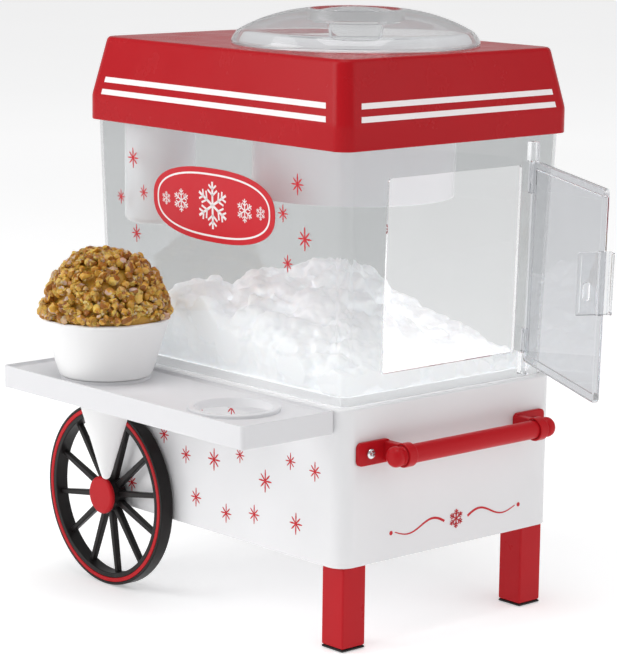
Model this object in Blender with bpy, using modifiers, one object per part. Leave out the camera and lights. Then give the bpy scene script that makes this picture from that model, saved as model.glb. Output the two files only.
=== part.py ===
"""Shaved ice machine in the form of a small vending cart.

Blender 4.5 script. Units are metres, +Z is up, the front with the door faces -Y.
The design is laid out around the middle of the cart's base at floor level. One empty, cart_frame,
then carries everything to the row's origin, which is the middle of the footprint of the whole machine,
with its shelf and its open door, at floor level.
"""

import math

import bmesh
import bpy
from mathutils import Matrix, Vector

MM = 0.001

# ---------------------------------------------------------------- driving dimensions
# Footprint of the whole machine, measured round the cart's own middle: the origin sits in its middle.
REACH_LEFT = -185.3 * MM
REACH_RIGHT = 115.8 * MM
REACH_FRONT = -253.3 * MM
REACH_REAR = 169.0 * MM

GAP = 0.3 * MM  # clearance between touching pieces
WALL = 2.5 * MM  # opaque mouldings
CLEAR_WALL = 2.0 * MM  # clear mouldings

BASE_HALF = Vector((99.5, 129.5)) * MM
BASE_LOW = 57.0 * MM
BASE_TOP = 163.0 * MM
BASE_CORNER = 12.0 * MM

LEG_SIDE = 20.5 * MM
LEG_INSET = Vector((5.5, 3.0)) * MM
FOOT_HEIGHT = 1.5 * MM

CASE_LOW_HALF = Vector((95.0, 124.5)) * MM
CASE_TOP_HALF = Vector((100.2, 129.4)) * MM
CASE_TOP = 335.7 * MM
CASE_LEAN = math.atan2(CASE_TOP_HALF.y - CASE_LOW_HALF.y, CASE_TOP - BASE_TOP)  # of the front wall
CASE_CORNER = 7.0 * MM

DOORWAY_X = (-60.5 * MM, 62.5 * MM)
DOORWAY_Z = (181.5 * MM, 310.0 * MM)

# The door stands on the leaning front wall, so its heights are measured up the wall from HINGE_FOOT.
HINGE_FOOT = Vector((69.5, -128.8, 163.0)) * MM
DOOR_REACH = 132.5 * MM  # hinge axis to free edge
DOOR_Z = (13.5 * MM, 150.8 * MM)
KNUCKLES_Z = ((19.0 * MM, 35.0 * MM), (128.0 * MM, 148.2 * MM))
LUGS_Z = ((3.0 * MM, 18.4 * MM), (149.0 * MM, 162.6 * MM))
LATCH_Z = (70.0 * MM, 110.5 * MM)
DOOR_OPEN = math.radians(64.0)
PIN_R = 1.5 * MM
KNUCKLE_R = 3.4 * MM

ROOF_HALF = Vector((105.0, 133.0)) * MM
ROOF_TOP_HALF = Vector((97.8, 124.5)) * MM
ROOF_LOW = 329.5 * MM
ROOF_SHOULDER = 346.5 * MM
ROOF_TOP = 387.0 * MM
ROOF_CORNER = 10.0 * MM

HOPPER_Y = -30.0 * MM  # the ice chamber stands forward of the middle
CHAMBER_R = 46.0 * MM
DECK_LOW = 336.0 * MM
DECK_TOP = 339.0 * MM
SHROUD_R = 69.0 * MM
SHROUD_LOW = 285.0 * MM
DISC_Z = 350.3 * MM
PULLEY_R = 54.0 * MM
BELT_Z = (343.0 * MM, 348.0 * MM)
BELT_THICK = 1.8 * MM

MOTOR_AT = Vector((-67.0, 96.0)) * MM
MOTOR_PULLEY_R = 8.0 * MM
MOTOR_COVER_R = 25.0 * MM
MOTOR_COVER_LOW = 258.0 * MM

WHEEL_R = 65.0 * MM
WHEEL_Y = 104.0 * MM
WHEEL_FACE = 112.0 * MM  # outer face of the tyre, from the cart's middle
WHEEL_WIDTH = 10.5 * MM
WHEEL_SIDES = 36
SPOKES = 12
AXLE_R = 2.5 * MM

SHELF_X = (-178.3 * MM, -99.8 * MM)
SHELF_Y = (-123.0 * MM, 132.0 * MM)
SHELF_Z = (147.2 * MM, 162.6 * MM)
SHELF_PLATE_Z = (158.0 * MM, 160.0 * MM)
RING_R = 30.5 * MM
RING_BORE = 25.5 * MM
RING_TOP = 162.5 * MM
RING_X = -141.0 * MM
RING_Y = (-71.0 * MM, 64.0 * MM)  # free ring, ring with the cup

HANDLE_Y = -149.5 * MM
HANDLE_Z = 132.4 * MM
HANDLE_R = 6.3 * MM
HANDLE_ARM_X = 61.6 * MM

LID_R = 84.6 * MM
LID_LOW = ROOF_TOP + GAP
LID_CROWN = 412.6 * MM  # where the crown would peak if it had no hole
KNOB_HOLE_R = 31.0 * MM

ROUND = 28  # sides of a large round piece
SMALL_ROUND = 14  # sides of a small one


# ---------------------------------------------------------------- scene and materials
def clear_scene():
    for obj in list(bpy.data.objects):
        bpy.data.objects.remove(obj, do_unlink=True)


clear_scene()
PARTS = bpy.data.collections.new("shaved_ice_machine")
CUTTERS = bpy.data.collections.new("cutters")
bpy.context.scene.collection.children.link(PARTS)
bpy.context.scene.collection.children.link(CUTTERS)


def material(name, colour, roughness, metallic=0.0, alpha=1.0):
    made = bpy.data.materials.new(name)
    made.use_nodes = True
    shader = made.node_tree.nodes["Principled BSDF"]
    shader.inputs["Base Color"].default_value = (*colour, 1.0)
    shader.inputs["Roughness"].default_value = roughness
    shader.inputs["Metallic"].default_value = metallic
    shader.inputs["Alpha"].default_value = alpha
    return made


RED = material("red_plastic", (0.55, 0.02, 0.03), 0.3)
WHITE = material("white_plastic", (0.86, 0.86, 0.87), 0.3)
BLACK = material("black_plastic", (0.02, 0.02, 0.02), 0.4)
RUBBER = material("black_rubber", (0.03, 0.03, 0.03), 0.8)
CLEAR = material("clear_plastic", (0.9, 0.93, 0.93), 0.05, alpha=0.3)
STEEL = material("bright_steel", (0.75, 0.75, 0.76), 0.25, metallic=1.0)
BRONZE = material("bronze", (0.5, 0.33, 0.15), 0.4, metallic=1.0)
ICE = material("shaved_ice", (0.95, 0.96, 0.98), 0.7)
AMBER_ICE = material("flavoured_ice", (0.5, 0.25, 0.05), 0.4)


# ---------------------------------------------------------------- frames that carry the pieces
def empty(name, location=(0, 0, 0), parent=None, rotation=(0, 0, 0)):
    made = bpy.data.objects.new(name, None)
    made.location = location
    made.rotation_euler = rotation
    made.parent = parent
    PARTS.objects.link(made)
    return made


ORIGIN = Vector(((REACH_LEFT + REACH_RIGHT) / 2, (REACH_FRONT + REACH_REAR) / 2, 0))
CART = empty("cart_frame", -ORIGIN)
HINGE_FRAME = empty("hinge_frame", HINGE_FOOT, CART, (CASE_LEAN, 0, 0))
DOOR_FRAME = empty("door_frame", (0, 0, 0), HINGE_FRAME, (0, 0, DOOR_OPEN))
HOPPER_FRAME = empty("hopper_frame", (0, HOPPER_Y, 0), CART)
MOTOR_FRAME = empty("motor_frame", (*MOTOR_AT, 0), CART)
WHEEL_FRAMES = {
    "left": empty("left_wheel_frame", (0, WHEEL_Y, WHEEL_R), CART, (0, -math.pi / 2, 0)),
    "right": empty("right_wheel_frame", (0, WHEEL_Y, WHEEL_R), CART, (0, math.pi / 2, 0)),
}
CUP_FRAME = empty("cup_frame", (RING_X, RING_Y[1], 0), CART)

# The rear slope of the roof carries the switch and the cord gland. In this frame Y points out of the slope.
ROOF_SLOPE = math.atan2(ROOF_HALF.y - ROOF_TOP_HALF.y, ROOF_TOP - ROOF_SHOULDER)
SLOPE_MIDDLE = Vector((0, (ROOF_HALF.y + ROOF_TOP_HALF.y) / 2, (ROOF_SHOULDER + ROOF_TOP) / 2))
SWITCH_FRAME = empty("switch_frame", SLOPE_MIDDLE + Vector((-30 * MM, 0, 0)), CART, (ROOF_SLOPE, 0, 0))
GLAND_FRAME = empty("gland_frame", SLOPE_MIDDLE + Vector((45 * MM, 0, 0)), CART, (ROOF_SLOPE - math.pi / 2, 0, 0))


# ---------------------------------------------------------------- shaping tools
def add(name, mesh, paint=None, parent=None, location=(0, 0, 0), rotation=(0, 0, 0)):
    """A part if it has a material, or else a cutter or a piece to join."""
    made = bpy.data.objects.new(name, mesh)
    made.location = location
    made.rotation_euler = rotation
    made.parent = parent or CART
    if paint:
        mesh.materials.append(paint)
        PARTS.objects.link(made)
    else:
        made.hide_render = True
        made.display_type = "WIRE"
        CUTTERS.objects.link(made)
    return made


def finish_mesh(name, shape):
    mesh = bpy.data.meshes.new(name)
    shape.to_mesh(mesh)
    shape.free()
    return mesh


def vertical(edge):
    """True for an edge that rises, whether or not it leans."""
    a, b = (v.co for v in edge.verts)
    return abs(a.z - b.z) > 0.5 * (a - b).length


def loft_mesh(name, levels, corner=0.0, segments=3):
    """A body through centred rectangles, each (half x, half y, z), with its upright edges rounded."""
    shape = bmesh.new()
    cube = bmesh.ops.create_cube(shape, size=2.0)["verts"]
    for v in cube:
        half_x, half_y, z = levels[0] if v.co.z < 0 else levels[1]
        v.co = (v.co.x * half_x, v.co.y * half_y, z)
    for half_x, half_y, z in levels[2:]:
        top = max(shape.faces, key=lambda f: f.calc_center_median().z)
        grown = bmesh.ops.extrude_face_region(shape, geom=[top])["geom"]
        bmesh.ops.delete(shape, geom=[top], context="FACES")
        for v in (g for g in grown if isinstance(g, bmesh.types.BMVert)):
            v.co = (math.copysign(half_x, v.co.x), math.copysign(half_y, v.co.y), z)
    if corner:
        uprights = [e for e in shape.edges if vertical(e)]
        bmesh.ops.bevel(shape, geom=uprights, offset=corner, segments=segments, affect="EDGES", profile=0.5)
    bmesh.ops.recalc_face_normals(shape, faces=shape.faces)
    return finish_mesh(name, shape)


def box_mesh(name, x, y, z, corner=0.0, segments=3):
    """A box between the pairs x, y and z, with its upright edges rounded if corner is given."""
    shape = bmesh.new()
    for v in bmesh.ops.create_cube(shape, size=1.0)["verts"]:
        v.co = [pair[0] if side < 0 else pair[1] for side, pair in zip(v.co, (x, y, z))]
    if corner:
        uprights = [e for e in shape.edges if vertical(e)]
        bmesh.ops.bevel(shape, geom=uprights, offset=corner, segments=segments, affect="EDGES", profile=0.5)
    bmesh.ops.recalc_face_normals(shape, faces=shape.faces)
    return finish_mesh(name, shape)


def around(centre, half):
    return (centre - half, centre + half)


def rod_mesh(name, places, radius, low, high, sides=SMALL_ROUND):
    """Upright rods from low to high, one at each (x, y) place."""
    shape = bmesh.new()
    for x, y in places:
        rod = bmesh.ops.create_cone(
            shape, cap_ends=True, segments=sides, radius1=radius, radius2=radius, depth=high - low)["verts"]
        bmesh.ops.translate(shape, verts=rod, vec=(x, y, (low + high) / 2))
    return finish_mesh(name, shape)


def turned(name, profile, paint=None, parent=None, sides=ROUND, ring=False, location=(0, 0, 0), rotation=(0, 0, 0)):
    """A turned piece. The profile is (radius, height) pairs, down its outer side. A ring's profile closes."""
    mesh = bpy.data.meshes.new(name)
    count = len(profile)
    edges = [(i, i + 1) for i in range(count - 1)] + ([(count - 1, 0)] if ring else [])
    mesh.from_pydata([(r, 0, z) for r, z in profile], edges, [])
    made = add(name, mesh, paint, parent, location, rotation)
    screw = made.modifiers.new("turn", "SCREW")
    screw.steps = sides
    screw.render_steps = sides
    screw.use_merge_vertices = True
    screw.merge_threshold = 0.00002
    return made


def boolean(obj, other, operation):
    made = obj.modifiers.new(operation.lower(), "BOOLEAN")
    made.operation = operation
    made.object = other
    made.solver = "EXACT"
    return obj


def cut(obj, *others):
    for other in others:
        boolean(obj, other, "DIFFERENCE")
    return obj


def join(obj, *others):
    for other in others:
        boolean(obj, other, "UNION")
    return obj


TO_FRONT = (math.pi / 2, 0, 0)  # lays an upright piece along Y, its top towards the front
ALONG_X = (0, math.pi / 2, 0)


def screw(name, head, paint, parent=None, at=(0, 0, 0), rotation=(0, 0, 0), reach=10 * MM):
    """A pan head screw. Its head sits on the plane z = 0 and its shank runs down by reach."""
    turned(name, [
        (0, 1.8 * MM), (head * 0.75, 1.8 * MM), (head, 0.9 * MM), (head, 0), (1.5 * MM, 0), (1.5 * MM, -reach),
        (0, -reach)], paint, parent, 12, location=at, rotation=rotation)


# ---------------------------------------------------------------- base
HOOKS_Y = (-90 * MM, 100 * MM)  # the shelf hangs from the base's left wall by two hooks


def make_base():
    half = BASE_HALF
    edge = Vector((0.9, 0.9)) * MM
    shell = add("base_shell", loft_mesh("base_shell", [
        (*half, BASE_LOW), (*half, BASE_TOP - edge.x), (*(half - edge), BASE_TOP)], BASE_CORNER, 4), WHITE)
    inner = half - Vector((WALL, WALL))
    hollow = add("base_hollow", loft_mesh(
        "base_hollow", [(*inner, BASE_LOW - 10 * MM), (*inner, BASE_TOP - WALL)], BASE_CORNER - WALL))
    axle = add("base_axle_holes", rod_mesh("base_axle_holes", [(0, 0)], 4.6 * MM, -120 * MM, 120 * MM),
               location=(0, WHEEL_Y, WHEEL_R), rotation=ALONG_X)
    handle = add("base_handle_holes", rod_mesh(
        "base_handle_holes", [(x, HANDLE_Z) for x in HANDLE_SCREWS_X], 1.8 * MM, 115 * MM, 135 * MM, 8),
        rotation=TO_FRONT)
    cut(shell, hollow, axle, handle)
    for y in HOOKS_Y:
        cut(shell, add("hook_slot", box_mesh("hook_slot", (-110 * MM, -85 * MM), around(y, 6.3 * MM), HOOK_SLOT_Z)))

    plate_half = inner - Vector((GAP, GAP))
    plate = add("base_bottom_plate", loft_mesh(
        "base_bottom_plate", [(*plate_half, BASE_LOW + 0.3 * MM), (*plate_half, BASE_LOW + 2.3 * MM)],
        BASE_CORNER - WALL - GAP), WHITE)
    for side, x in LEG_X.items():
        socket = box_mesh("leg_socket", around(x, 7.3 * MM), around(LEG_Y, 7.3 * MM), (BASE_LOW - 5 * MM, BASE_LOW + 9 * MM))
        cut(plate, add("leg_socket_" + side, socket))


def make_legs():
    for side, x in LEG_X.items():
        across, along = around(x, LEG_SIDE / 2), around(LEG_Y, LEG_SIDE / 2)
        leg = add("front_leg_" + side, box_mesh(
            "front_leg", across, along, (FOOT_HEIGHT + GAP, BASE_LOW - GAP), 1.2 * MM, 2), RED)
        plug = box_mesh("leg_plug", around(x, 7 * MM), around(LEG_Y, 7 * MM), (BASE_LOW - 10 * MM, BASE_LOW + 24 * MM))
        join(leg, add("leg_plug_" + side, plug))
        add("foot_pad_" + side, box_mesh("foot_pad", across, along, (0, FOOT_HEIGHT), 1.2 * MM, 2), RUBBER)


LEG_X = {"left": -(BASE_HALF.x - LEG_INSET.x - LEG_SIDE / 2), "right": BASE_HALF.x - LEG_INSET.x - LEG_SIDE / 2}
LEG_Y = -(BASE_HALF.y - LEG_INSET.y - LEG_SIDE / 2)


def make_floor_pan():
    half = CASE_LOW_HALF - Vector((CLEAR_WALL + 0.7 * MM, CLEAR_WALL + 0.7 * MM))
    low, floor, rim = BASE_TOP + GAP, BASE_TOP + GAP + 1.5 * MM, BASE_TOP + 6 * MM
    pan = add("floor_pan", loft_mesh("floor_pan", [(*half, low), (*half, rim)], CASE_CORNER - 3 * MM), WHITE)
    inner = half - Vector((1.5 * MM, 1.5 * MM))
    cut(pan, add("pan_hollow", loft_mesh(
        "pan_hollow", [(*inner, floor), (*inner, rim + 5 * MM)], CASE_CORNER - 4.5 * MM)))


# ---------------------------------------------------------------- wheels
def make_axle():
    end, wall = WHEEL_FACE - 0.5 * MM, BASE_HALF.x
    add("wheel_axle", rod_mesh("wheel_axle", [(0, 0)], AXLE_R, -end, end), STEEL,
        location=(0, WHEEL_Y, WHEEL_R), rotation=ALONG_X)
    nut_z = WHEEL_FACE - 2.2 * MM + GAP
    for side, frame in WHEEL_FRAMES.items():
        turned(f"axle_bush_{side}", [
            (4.2 * MM, wall + 0.4 * MM), (4.2 * MM, wall - WALL - 1 * MM), (5.2 * MM, wall - WALL - 1 * MM),
            (5.2 * MM, wall - WALL - 2.4 * MM), (AXLE_R + GAP, wall - WALL - 2.4 * MM), (AXLE_R + GAP, wall + 0.4 * MM),
        ], BLACK, frame, SMALL_ROUND, ring=True)
        turned(f"axle_push_nut_{side}", [
            (5.0 * MM, nut_z + 0.8 * MM), (5.0 * MM, nut_z), (AXLE_R + GAP, nut_z), (AXLE_R + GAP, nut_z + 0.8 * MM),
        ], STEEL, frame, SMALL_ROUND, ring=True)


def make_wheel(side, frame):
    """In the wheel's frame, Z runs out along the axle, with zero at the cart's middle."""
    face, back = WHEEL_FACE, WHEEL_FACE - WHEEL_WIDTH
    inner, groove, lip, seat = WHEEL_R - 8.7 * MM, WHEEL_R - 5.4 * MM, WHEEL_R - 2.0 * MM, face - 1.3 * MM
    wheel = turned(f"wheel_{side}", [
        (lip, face), (WHEEL_R, face), (WHEEL_R, back), (inner, back), (inner, face), (groove, face), (groove, seat),
        (lip, seat),
    ], BLACK, frame, WHEEL_SIDES, ring=True)
    spokes = bmesh.new()
    for k in range(SPOKES):
        spoke = bmesh.ops.create_cube(spokes, size=1.0)["verts"]
        for v in spoke:
            reach = (9.5 * MM, WHEEL_R - 5 * MM)[v.co.x > 0]
            v.co = (reach, v.co.y * 4.0 * MM, face - 6 * MM + v.co.z * 4.5 * MM)
        turn = Matrix.Rotation(2 * math.pi * (k + 0.3) / SPOKES, 3, "Z")
        bmesh.ops.rotate(spokes, verts=spoke, cent=(0, 0, 0), matrix=turn)
    spoke_piece = add(f"spokes_{side}", finish_mesh("spokes", spokes), parent=frame)
    bore = AXLE_R + GAP
    hub = turned(f"hub_{side}", [
        (12.0 * MM, face + 0.5 * MM), (12.0 * MM, back), (bore, back), (bore, face - 2.2 * MM),
        (7.5 * MM, face - 2.2 * MM), (7.5 * MM, face + 0.5 * MM),
    ], None, frame, SMALL_ROUND, ring=True)
    join(wheel, spoke_piece, hub)

    turned(f"wheel_ring_{side}", [
        (lip - GAP, face + 0.2 * MM), (lip - GAP, seat + GAP), (groove + GAP, seat + GAP),
        (groove + GAP, face + 0.2 * MM),
    ], RED, frame, WHEEL_SIDES, ring=True)
    cap = face + 0.5 * MM + GAP
    turned(f"hub_cap_{side}", [
        (0, cap + 3.0 * MM), (11.6 * MM, cap + 3.0 * MM), (13.4 * MM, cap + 1.8 * MM), (13.4 * MM, cap),
        (7.0 * MM, cap), (7.0 * MM, cap - 1.8 * MM), (5.8 * MM, cap - 1.8 * MM), (5.8 * MM, cap + 1.0 * MM),
        (0, cap + 1.0 * MM),
    ], RED, frame, 20)


# ---------------------------------------------------------------- push handle
HANDLE_SCREWS_X = (-77.0 * MM, 77.0 * MM)


def make_handle():
    face, base = -BASE_HALF.y - GAP, HANDLE_ARM_X + 3.6 * MM + GAP
    for side, sign in (("left", -1), ("right", 1)):
        arm_x, screw_x = sign * HANDLE_ARM_X, sign * HANDLE_SCREWS_X[1]
        at_eye = Vector((arm_x, HANDLE_Y, HANDLE_Z))
        plate = box_mesh("handle_plate", sorted((sign * 58.6 * MM, sign * 87.5 * MM)),
                         (-HANDLE_Z - 7.8 * MM, -HANDLE_Z + 7.8 * MM), (face - 2.6 * MM, face), 3.5 * MM, 3)
        plate.transform(Matrix.Rotation(-math.pi / 2, 4, "X"))
        bracket = add(f"handle_bracket_{side}", plate, RED)
        arm = box_mesh("handle_arm", around(arm_x, 3 * MM), (HANDLE_Y, face - 1 * MM), around(HANDLE_Z, 6.5 * MM))
        eye = rod_mesh("handle_eye", [(0, 0)], 8.0 * MM, -3.6 * MM, 3.6 * MM)
        eye_bore = rod_mesh("handle_eye_bore", [(0, 0)], HANDLE_R + GAP, -9 * MM, 9 * MM, 20)
        screw_hole = rod_mesh("handle_screw_hole", [(screw_x, HANDLE_Z)], 1.8 * MM, 120 * MM, 140 * MM, 8)
        join(bracket, add(f"handle_arm_{side}", arm), add(f"handle_eye_{side}", eye, location=at_eye, rotation=ALONG_X))
        cut(bracket, add(f"handle_eye_bore_{side}", eye_bore, location=at_eye, rotation=ALONG_X),
            add(f"handle_screw_hole_{side}", screw_hole, rotation=TO_FRONT))
        turned(f"handle_knob_{side}", [
            (0, base + 10.5 * MM), (4.0 * MM, base + 9.7 * MM), (6.5 * MM, base + 7.0 * MM), (7.0 * MM, base + 4.2 * MM),
            (5.7 * MM, base + 1.2 * MM), (6.7 * MM, base), (0, base),
        ], RED, None, SMALL_ROUND, location=(0, HANDLE_Y, HANDLE_Z), rotation=(0, sign * math.pi / 2, 0))
        screw(f"handle_screw_{side}", 3.4 * MM, STEEL, at=(screw_x, face - 2.6 * MM - GAP, HANDLE_Z), rotation=TO_FRONT)
    bar_end = HANDLE_ARM_X + 3.6 * MM
    add("handle_bar", rod_mesh("handle_bar", [(0, 0)], HANDLE_R, -bar_end, bar_end, 20), RED,
        location=(0, HANDLE_Y, HANDLE_Z), rotation=ALONG_X)


# ---------------------------------------------------------------- cup shelf and cup
HOOK_Z = (151.0 * MM, 155.0 * MM)
HOOK_SLOT_Z = (150.7 * MM, 160.3 * MM)  # tall enough for the hook's tip to pass


def make_shelf():
    shelf = add("cup_shelf", box_mesh("cup_shelf", SHELF_X, SHELF_Y, SHELF_Z, 3 * MM, 3), WHITE)
    rim = 1.8 * MM
    inner_x = (SHELF_X[0] + rim, SHELF_X[1] - rim)
    inner_y = (SHELF_Y[0] + rim, SHELF_Y[1] - rim)
    above = add("shelf_tray", box_mesh("shelf_tray", inner_x, inner_y, (SHELF_PLATE_Z[1], SHELF_Z[1] + 5 * MM), 1.5 * MM, 2))
    below = add("shelf_underside", box_mesh(
        "shelf_underside", inner_x, inner_y, (SHELF_Z[0] - 5 * MM, SHELF_PLATE_Z[0]), 1.5 * MM, 2))
    rings = add("shelf_rings", rod_mesh("shelf_rings", [(RING_X, y) for y in RING_Y], RING_R, 150 * MM, RING_TOP, ROUND))
    bores = add("shelf_ring_bores", rod_mesh(
        "shelf_ring_bores", [(RING_X, y) for y in RING_Y], RING_BORE, 140 * MM, RING_TOP + 5 * MM, ROUND))
    cut(shelf, above, below)
    join(shelf, rings)
    cut(shelf, bores)
    behind_wall = -BASE_HALF.x + WALL + GAP
    for k, y in enumerate(HOOKS_Y):
        neck = box_mesh("hook_neck", (SHELF_X[1] - 1 * MM, behind_wall + 2 * MM), around(y, 6 * MM), HOOK_Z)
        tip = box_mesh("hook_tip", (behind_wall, behind_wall + 2 * MM), around(y, 6 * MM), (146 * MM, HOOK_Z[1]))
        join(shelf, add(f"hook_neck_{k}", neck), add(f"hook_tip_{k}", tip))


CUP_OUTER = [(44.3, 202.5), (31.5, 162.9), (24.2, 162.9), (3.6, 92.0), (2.4, 89.0), (0.0, 88.0)]
CUP_INNER = [(0.0, 89.6), (1.4, 90.4), (2.4, 92.8), (22.8, 164.4), (30.4, 164.6), (42.7, 202.5)]
ICE_IN_CUP = [(0.0, 250.0), (20.0, 246.5), (33.0, 236.0), (41.8, 221.0), (44.2, 208.0), (42.2, 202.4), (29.8, 165.2),
              (22.4, 165.0), (2.0, 93.6), (0.0, 91.2)]


def in_mm(profile):
    return [(r * MM, z * MM) for r, z in profile]


def make_cup():
    turned("snow_cone_cup", in_mm(CUP_INNER + CUP_OUTER), WHITE, CUP_FRAME, 24)
    turned("flavoured_ice", in_mm(ICE_IN_CUP), AMBER_ICE, CUP_FRAME, 24)


# ---------------------------------------------------------------- clear case and door
def case_half(z, inset=0.0):
    """Half sizes of the tapered case at a height."""
    share = (z - BASE_TOP) / (CASE_TOP - BASE_TOP)
    half = CASE_LOW_HALF.lerp(CASE_TOP_HALF, share)
    return (half.x - inset, half.y - inset)


def make_case():
    low, high = BASE_TOP + GAP, CASE_TOP
    case = add("cabinet_case", loft_mesh(
        "cabinet_case", [(*case_half(low), low), (*case_half(high), high)], CASE_CORNER, 3), CLEAR)
    under, over = low - 10 * MM, high + 10 * MM
    hollow = add("case_hollow", loft_mesh(
        "case_hollow", [(*case_half(under, CLEAR_WALL), under), (*case_half(over, CLEAR_WALL), over)],
        CASE_CORNER - CLEAR_WALL, 3))
    doorway = add("doorway", box_mesh("doorway", DOORWAY_X, (-140 * MM, -110 * MM), DOORWAY_Z))
    cut(case, hollow, doorway)

    to_wall = (-case_half(HINGE_FOOT.z)[1] - HINGE_FOOT.y) * math.cos(CASE_LEAN) - 0.5 * MM
    for side, lug_z, pin_z in (("lower", LUGS_Z[0], (6 * MM, 32 * MM)), ("upper", LUGS_Z[1], (134 * MM, 160 * MM))):
        bracket = add(f"hinge_bracket_{side}", box_mesh("hinge_lug", around(0, KNUCKLE_R), (0, to_wall), lug_z),
                      CLEAR, HINGE_FRAME)
        nose = rod_mesh("hinge_nose", [(0, 0)], KNUCKLE_R, *lug_z)
        pin = rod_mesh("hinge_pin", [(0, 0)], PIN_R, *pin_z, 12)
        join(bracket, add(f"hinge_nose_{side}", nose, parent=HINGE_FRAME), add(f"hinge_pin_{side}", pin, parent=HINGE_FRAME))


def make_door():
    """In the door's frame the hinge axis is at the origin, the free edge towards -X and the outside at -Y."""
    sheet = (1.3 * MM, 3.5 * MM)
    hinge_edge, frame, latch_x = -5.2 * MM, 5.0 * MM, -DOOR_REACH + 4 * MM
    panel = add("door_panel", box_mesh("door_panel", (-DOOR_REACH, hinge_edge), sheet, DOOR_Z), CLEAR, DOOR_FRAME)
    rim = add("door_rim", box_mesh("door_rim", (-DOOR_REACH, hinge_edge), (sheet[0] - 1.6 * MM, sheet[1] - 0.5 * MM), DOOR_Z),
              parent=DOOR_FRAME)
    rim_hole = add("door_rim_hole", box_mesh(
        "door_rim_hole", (-DOOR_REACH + frame, hinge_edge - frame), (sheet[0] - 9 * MM, sheet[0] + 0.3 * MM),
        (DOOR_Z[0] + frame, DOOR_Z[1] - frame)), parent=DOOR_FRAME)
    cut(join(panel, rim), rim_hole)
    for k, z in enumerate(KNUCKLES_Z):
        knuckle = add(f"door_knuckle_{k}", rod_mesh("door_knuckle", [(0, 0)], KNUCKLE_R, *z), parent=DOOR_FRAME)
        web = add(f"door_web_{k}", box_mesh("door_web", (-8 * MM, 0), (0, 2.8 * MM), z), parent=DOOR_FRAME)
        join(panel, knuckle, web)
    bore = add("knuckle_bore", rod_mesh("knuckle_bore", [(0, 0)], PIN_R + GAP, 0, 170 * MM, 12), parent=DOOR_FRAME)
    slot = add("latch_slot", box_mesh("latch_slot", around(latch_x, 1.3 * MM), (-9 * MM, 20 * MM),
                                      (LATCH_Z[0] - GAP, LATCH_Z[1] + GAP)), parent=DOOR_FRAME)
    cut(panel, bore, slot)

    latch = add("door_latch", box_mesh("door_latch", around(latch_x, 1.0 * MM), (-6.5 * MM, 17.0 * MM), LATCH_Z),
                CLEAR, DOOR_FRAME)
    window = add("latch_window", box_mesh(
        "latch_window", around(latch_x, 5 * MM), (8.6 * MM, 12.8 * MM), around((LATCH_Z[0] + LATCH_Z[1]) / 2 - 5 * MM, 6 * MM)),
        parent=DOOR_FRAME)
    pull = add("latch_pull", box_mesh("latch_pull", around(latch_x, 3.4 * MM), (-6.5 * MM, -4.7 * MM), LATCH_Z),
               parent=DOOR_FRAME)
    join(cut(latch, window), pull)


# ---------------------------------------------------------------- roof, deck and lid
def make_roof():
    edge = 1.6 * MM
    roof = add("roof_cover", loft_mesh("roof_cover", [
        (*ROOF_HALF, ROOF_LOW), (*ROOF_HALF, ROOF_SHOULDER), (*ROOF_TOP_HALF, ROOF_TOP - edge),
        (*(ROOF_TOP_HALF - Vector((edge, edge))), ROOF_TOP)], ROOF_CORNER, 4), RED)
    inset = Vector((WALL, WALL))
    hollow = add("roof_hollow", loft_mesh("roof_hollow", [
        (*(ROOF_HALF - inset), ROOF_LOW - 10 * MM), (*(ROOF_HALF - inset), ROOF_SHOULDER),
        (*(ROOF_TOP_HALF - inset), ROOF_TOP - WALL)], ROOF_CORNER - WALL))
    mouth = add("roof_mouth", rod_mesh("roof_mouth", [(0, HOPPER_Y)], 49.0 * MM, ROOF_TOP - 9 * MM, ROOF_TOP + 9 * MM, ROUND))
    switch_hole = add("switch_hole", box_mesh(
        "switch_hole", around(0, 6.2 * MM), around(0, 12 * MM), around(0, 10.2 * MM)), parent=SWITCH_FRAME)
    gland_hole = add("gland_hole", rod_mesh("gland_hole", [(0, 0)], 5.3 * MM, -15 * MM, 15 * MM), parent=GLAND_FRAME)
    cut(roof, hollow, mouth, switch_hole, gland_hole)

    deck_half = ROOF_HALF - inset - Vector((0.5 * MM, 0.5 * MM))
    deck = add("roof_deck", loft_mesh(
        "roof_deck", [(*deck_half, DECK_LOW), (*deck_half, DECK_TOP)], ROOF_CORNER - WALL), WHITE)
    outlet = add("deck_outlet", rod_mesh(
        "deck_outlet", [(0, HOPPER_Y)], 50 * MM, DECK_LOW - 9 * MM, DECK_TOP + 9 * MM, ROUND))
    shaft_hole = add("deck_shaft_hole", rod_mesh(
        "deck_shaft_hole", [MOTOR_AT], 6 * MM, DECK_LOW - 9 * MM, DECK_TOP + 9 * MM, 12))
    screw_holes = add("deck_screw_holes", rod_mesh(
        "deck_screw_holes", MOTOR_SCREWS, 1.9 * MM, DECK_LOW - 9 * MM, DECK_TOP + 9 * MM, 8))
    cut(deck, outlet, shaft_hole, screw_holes)


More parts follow.
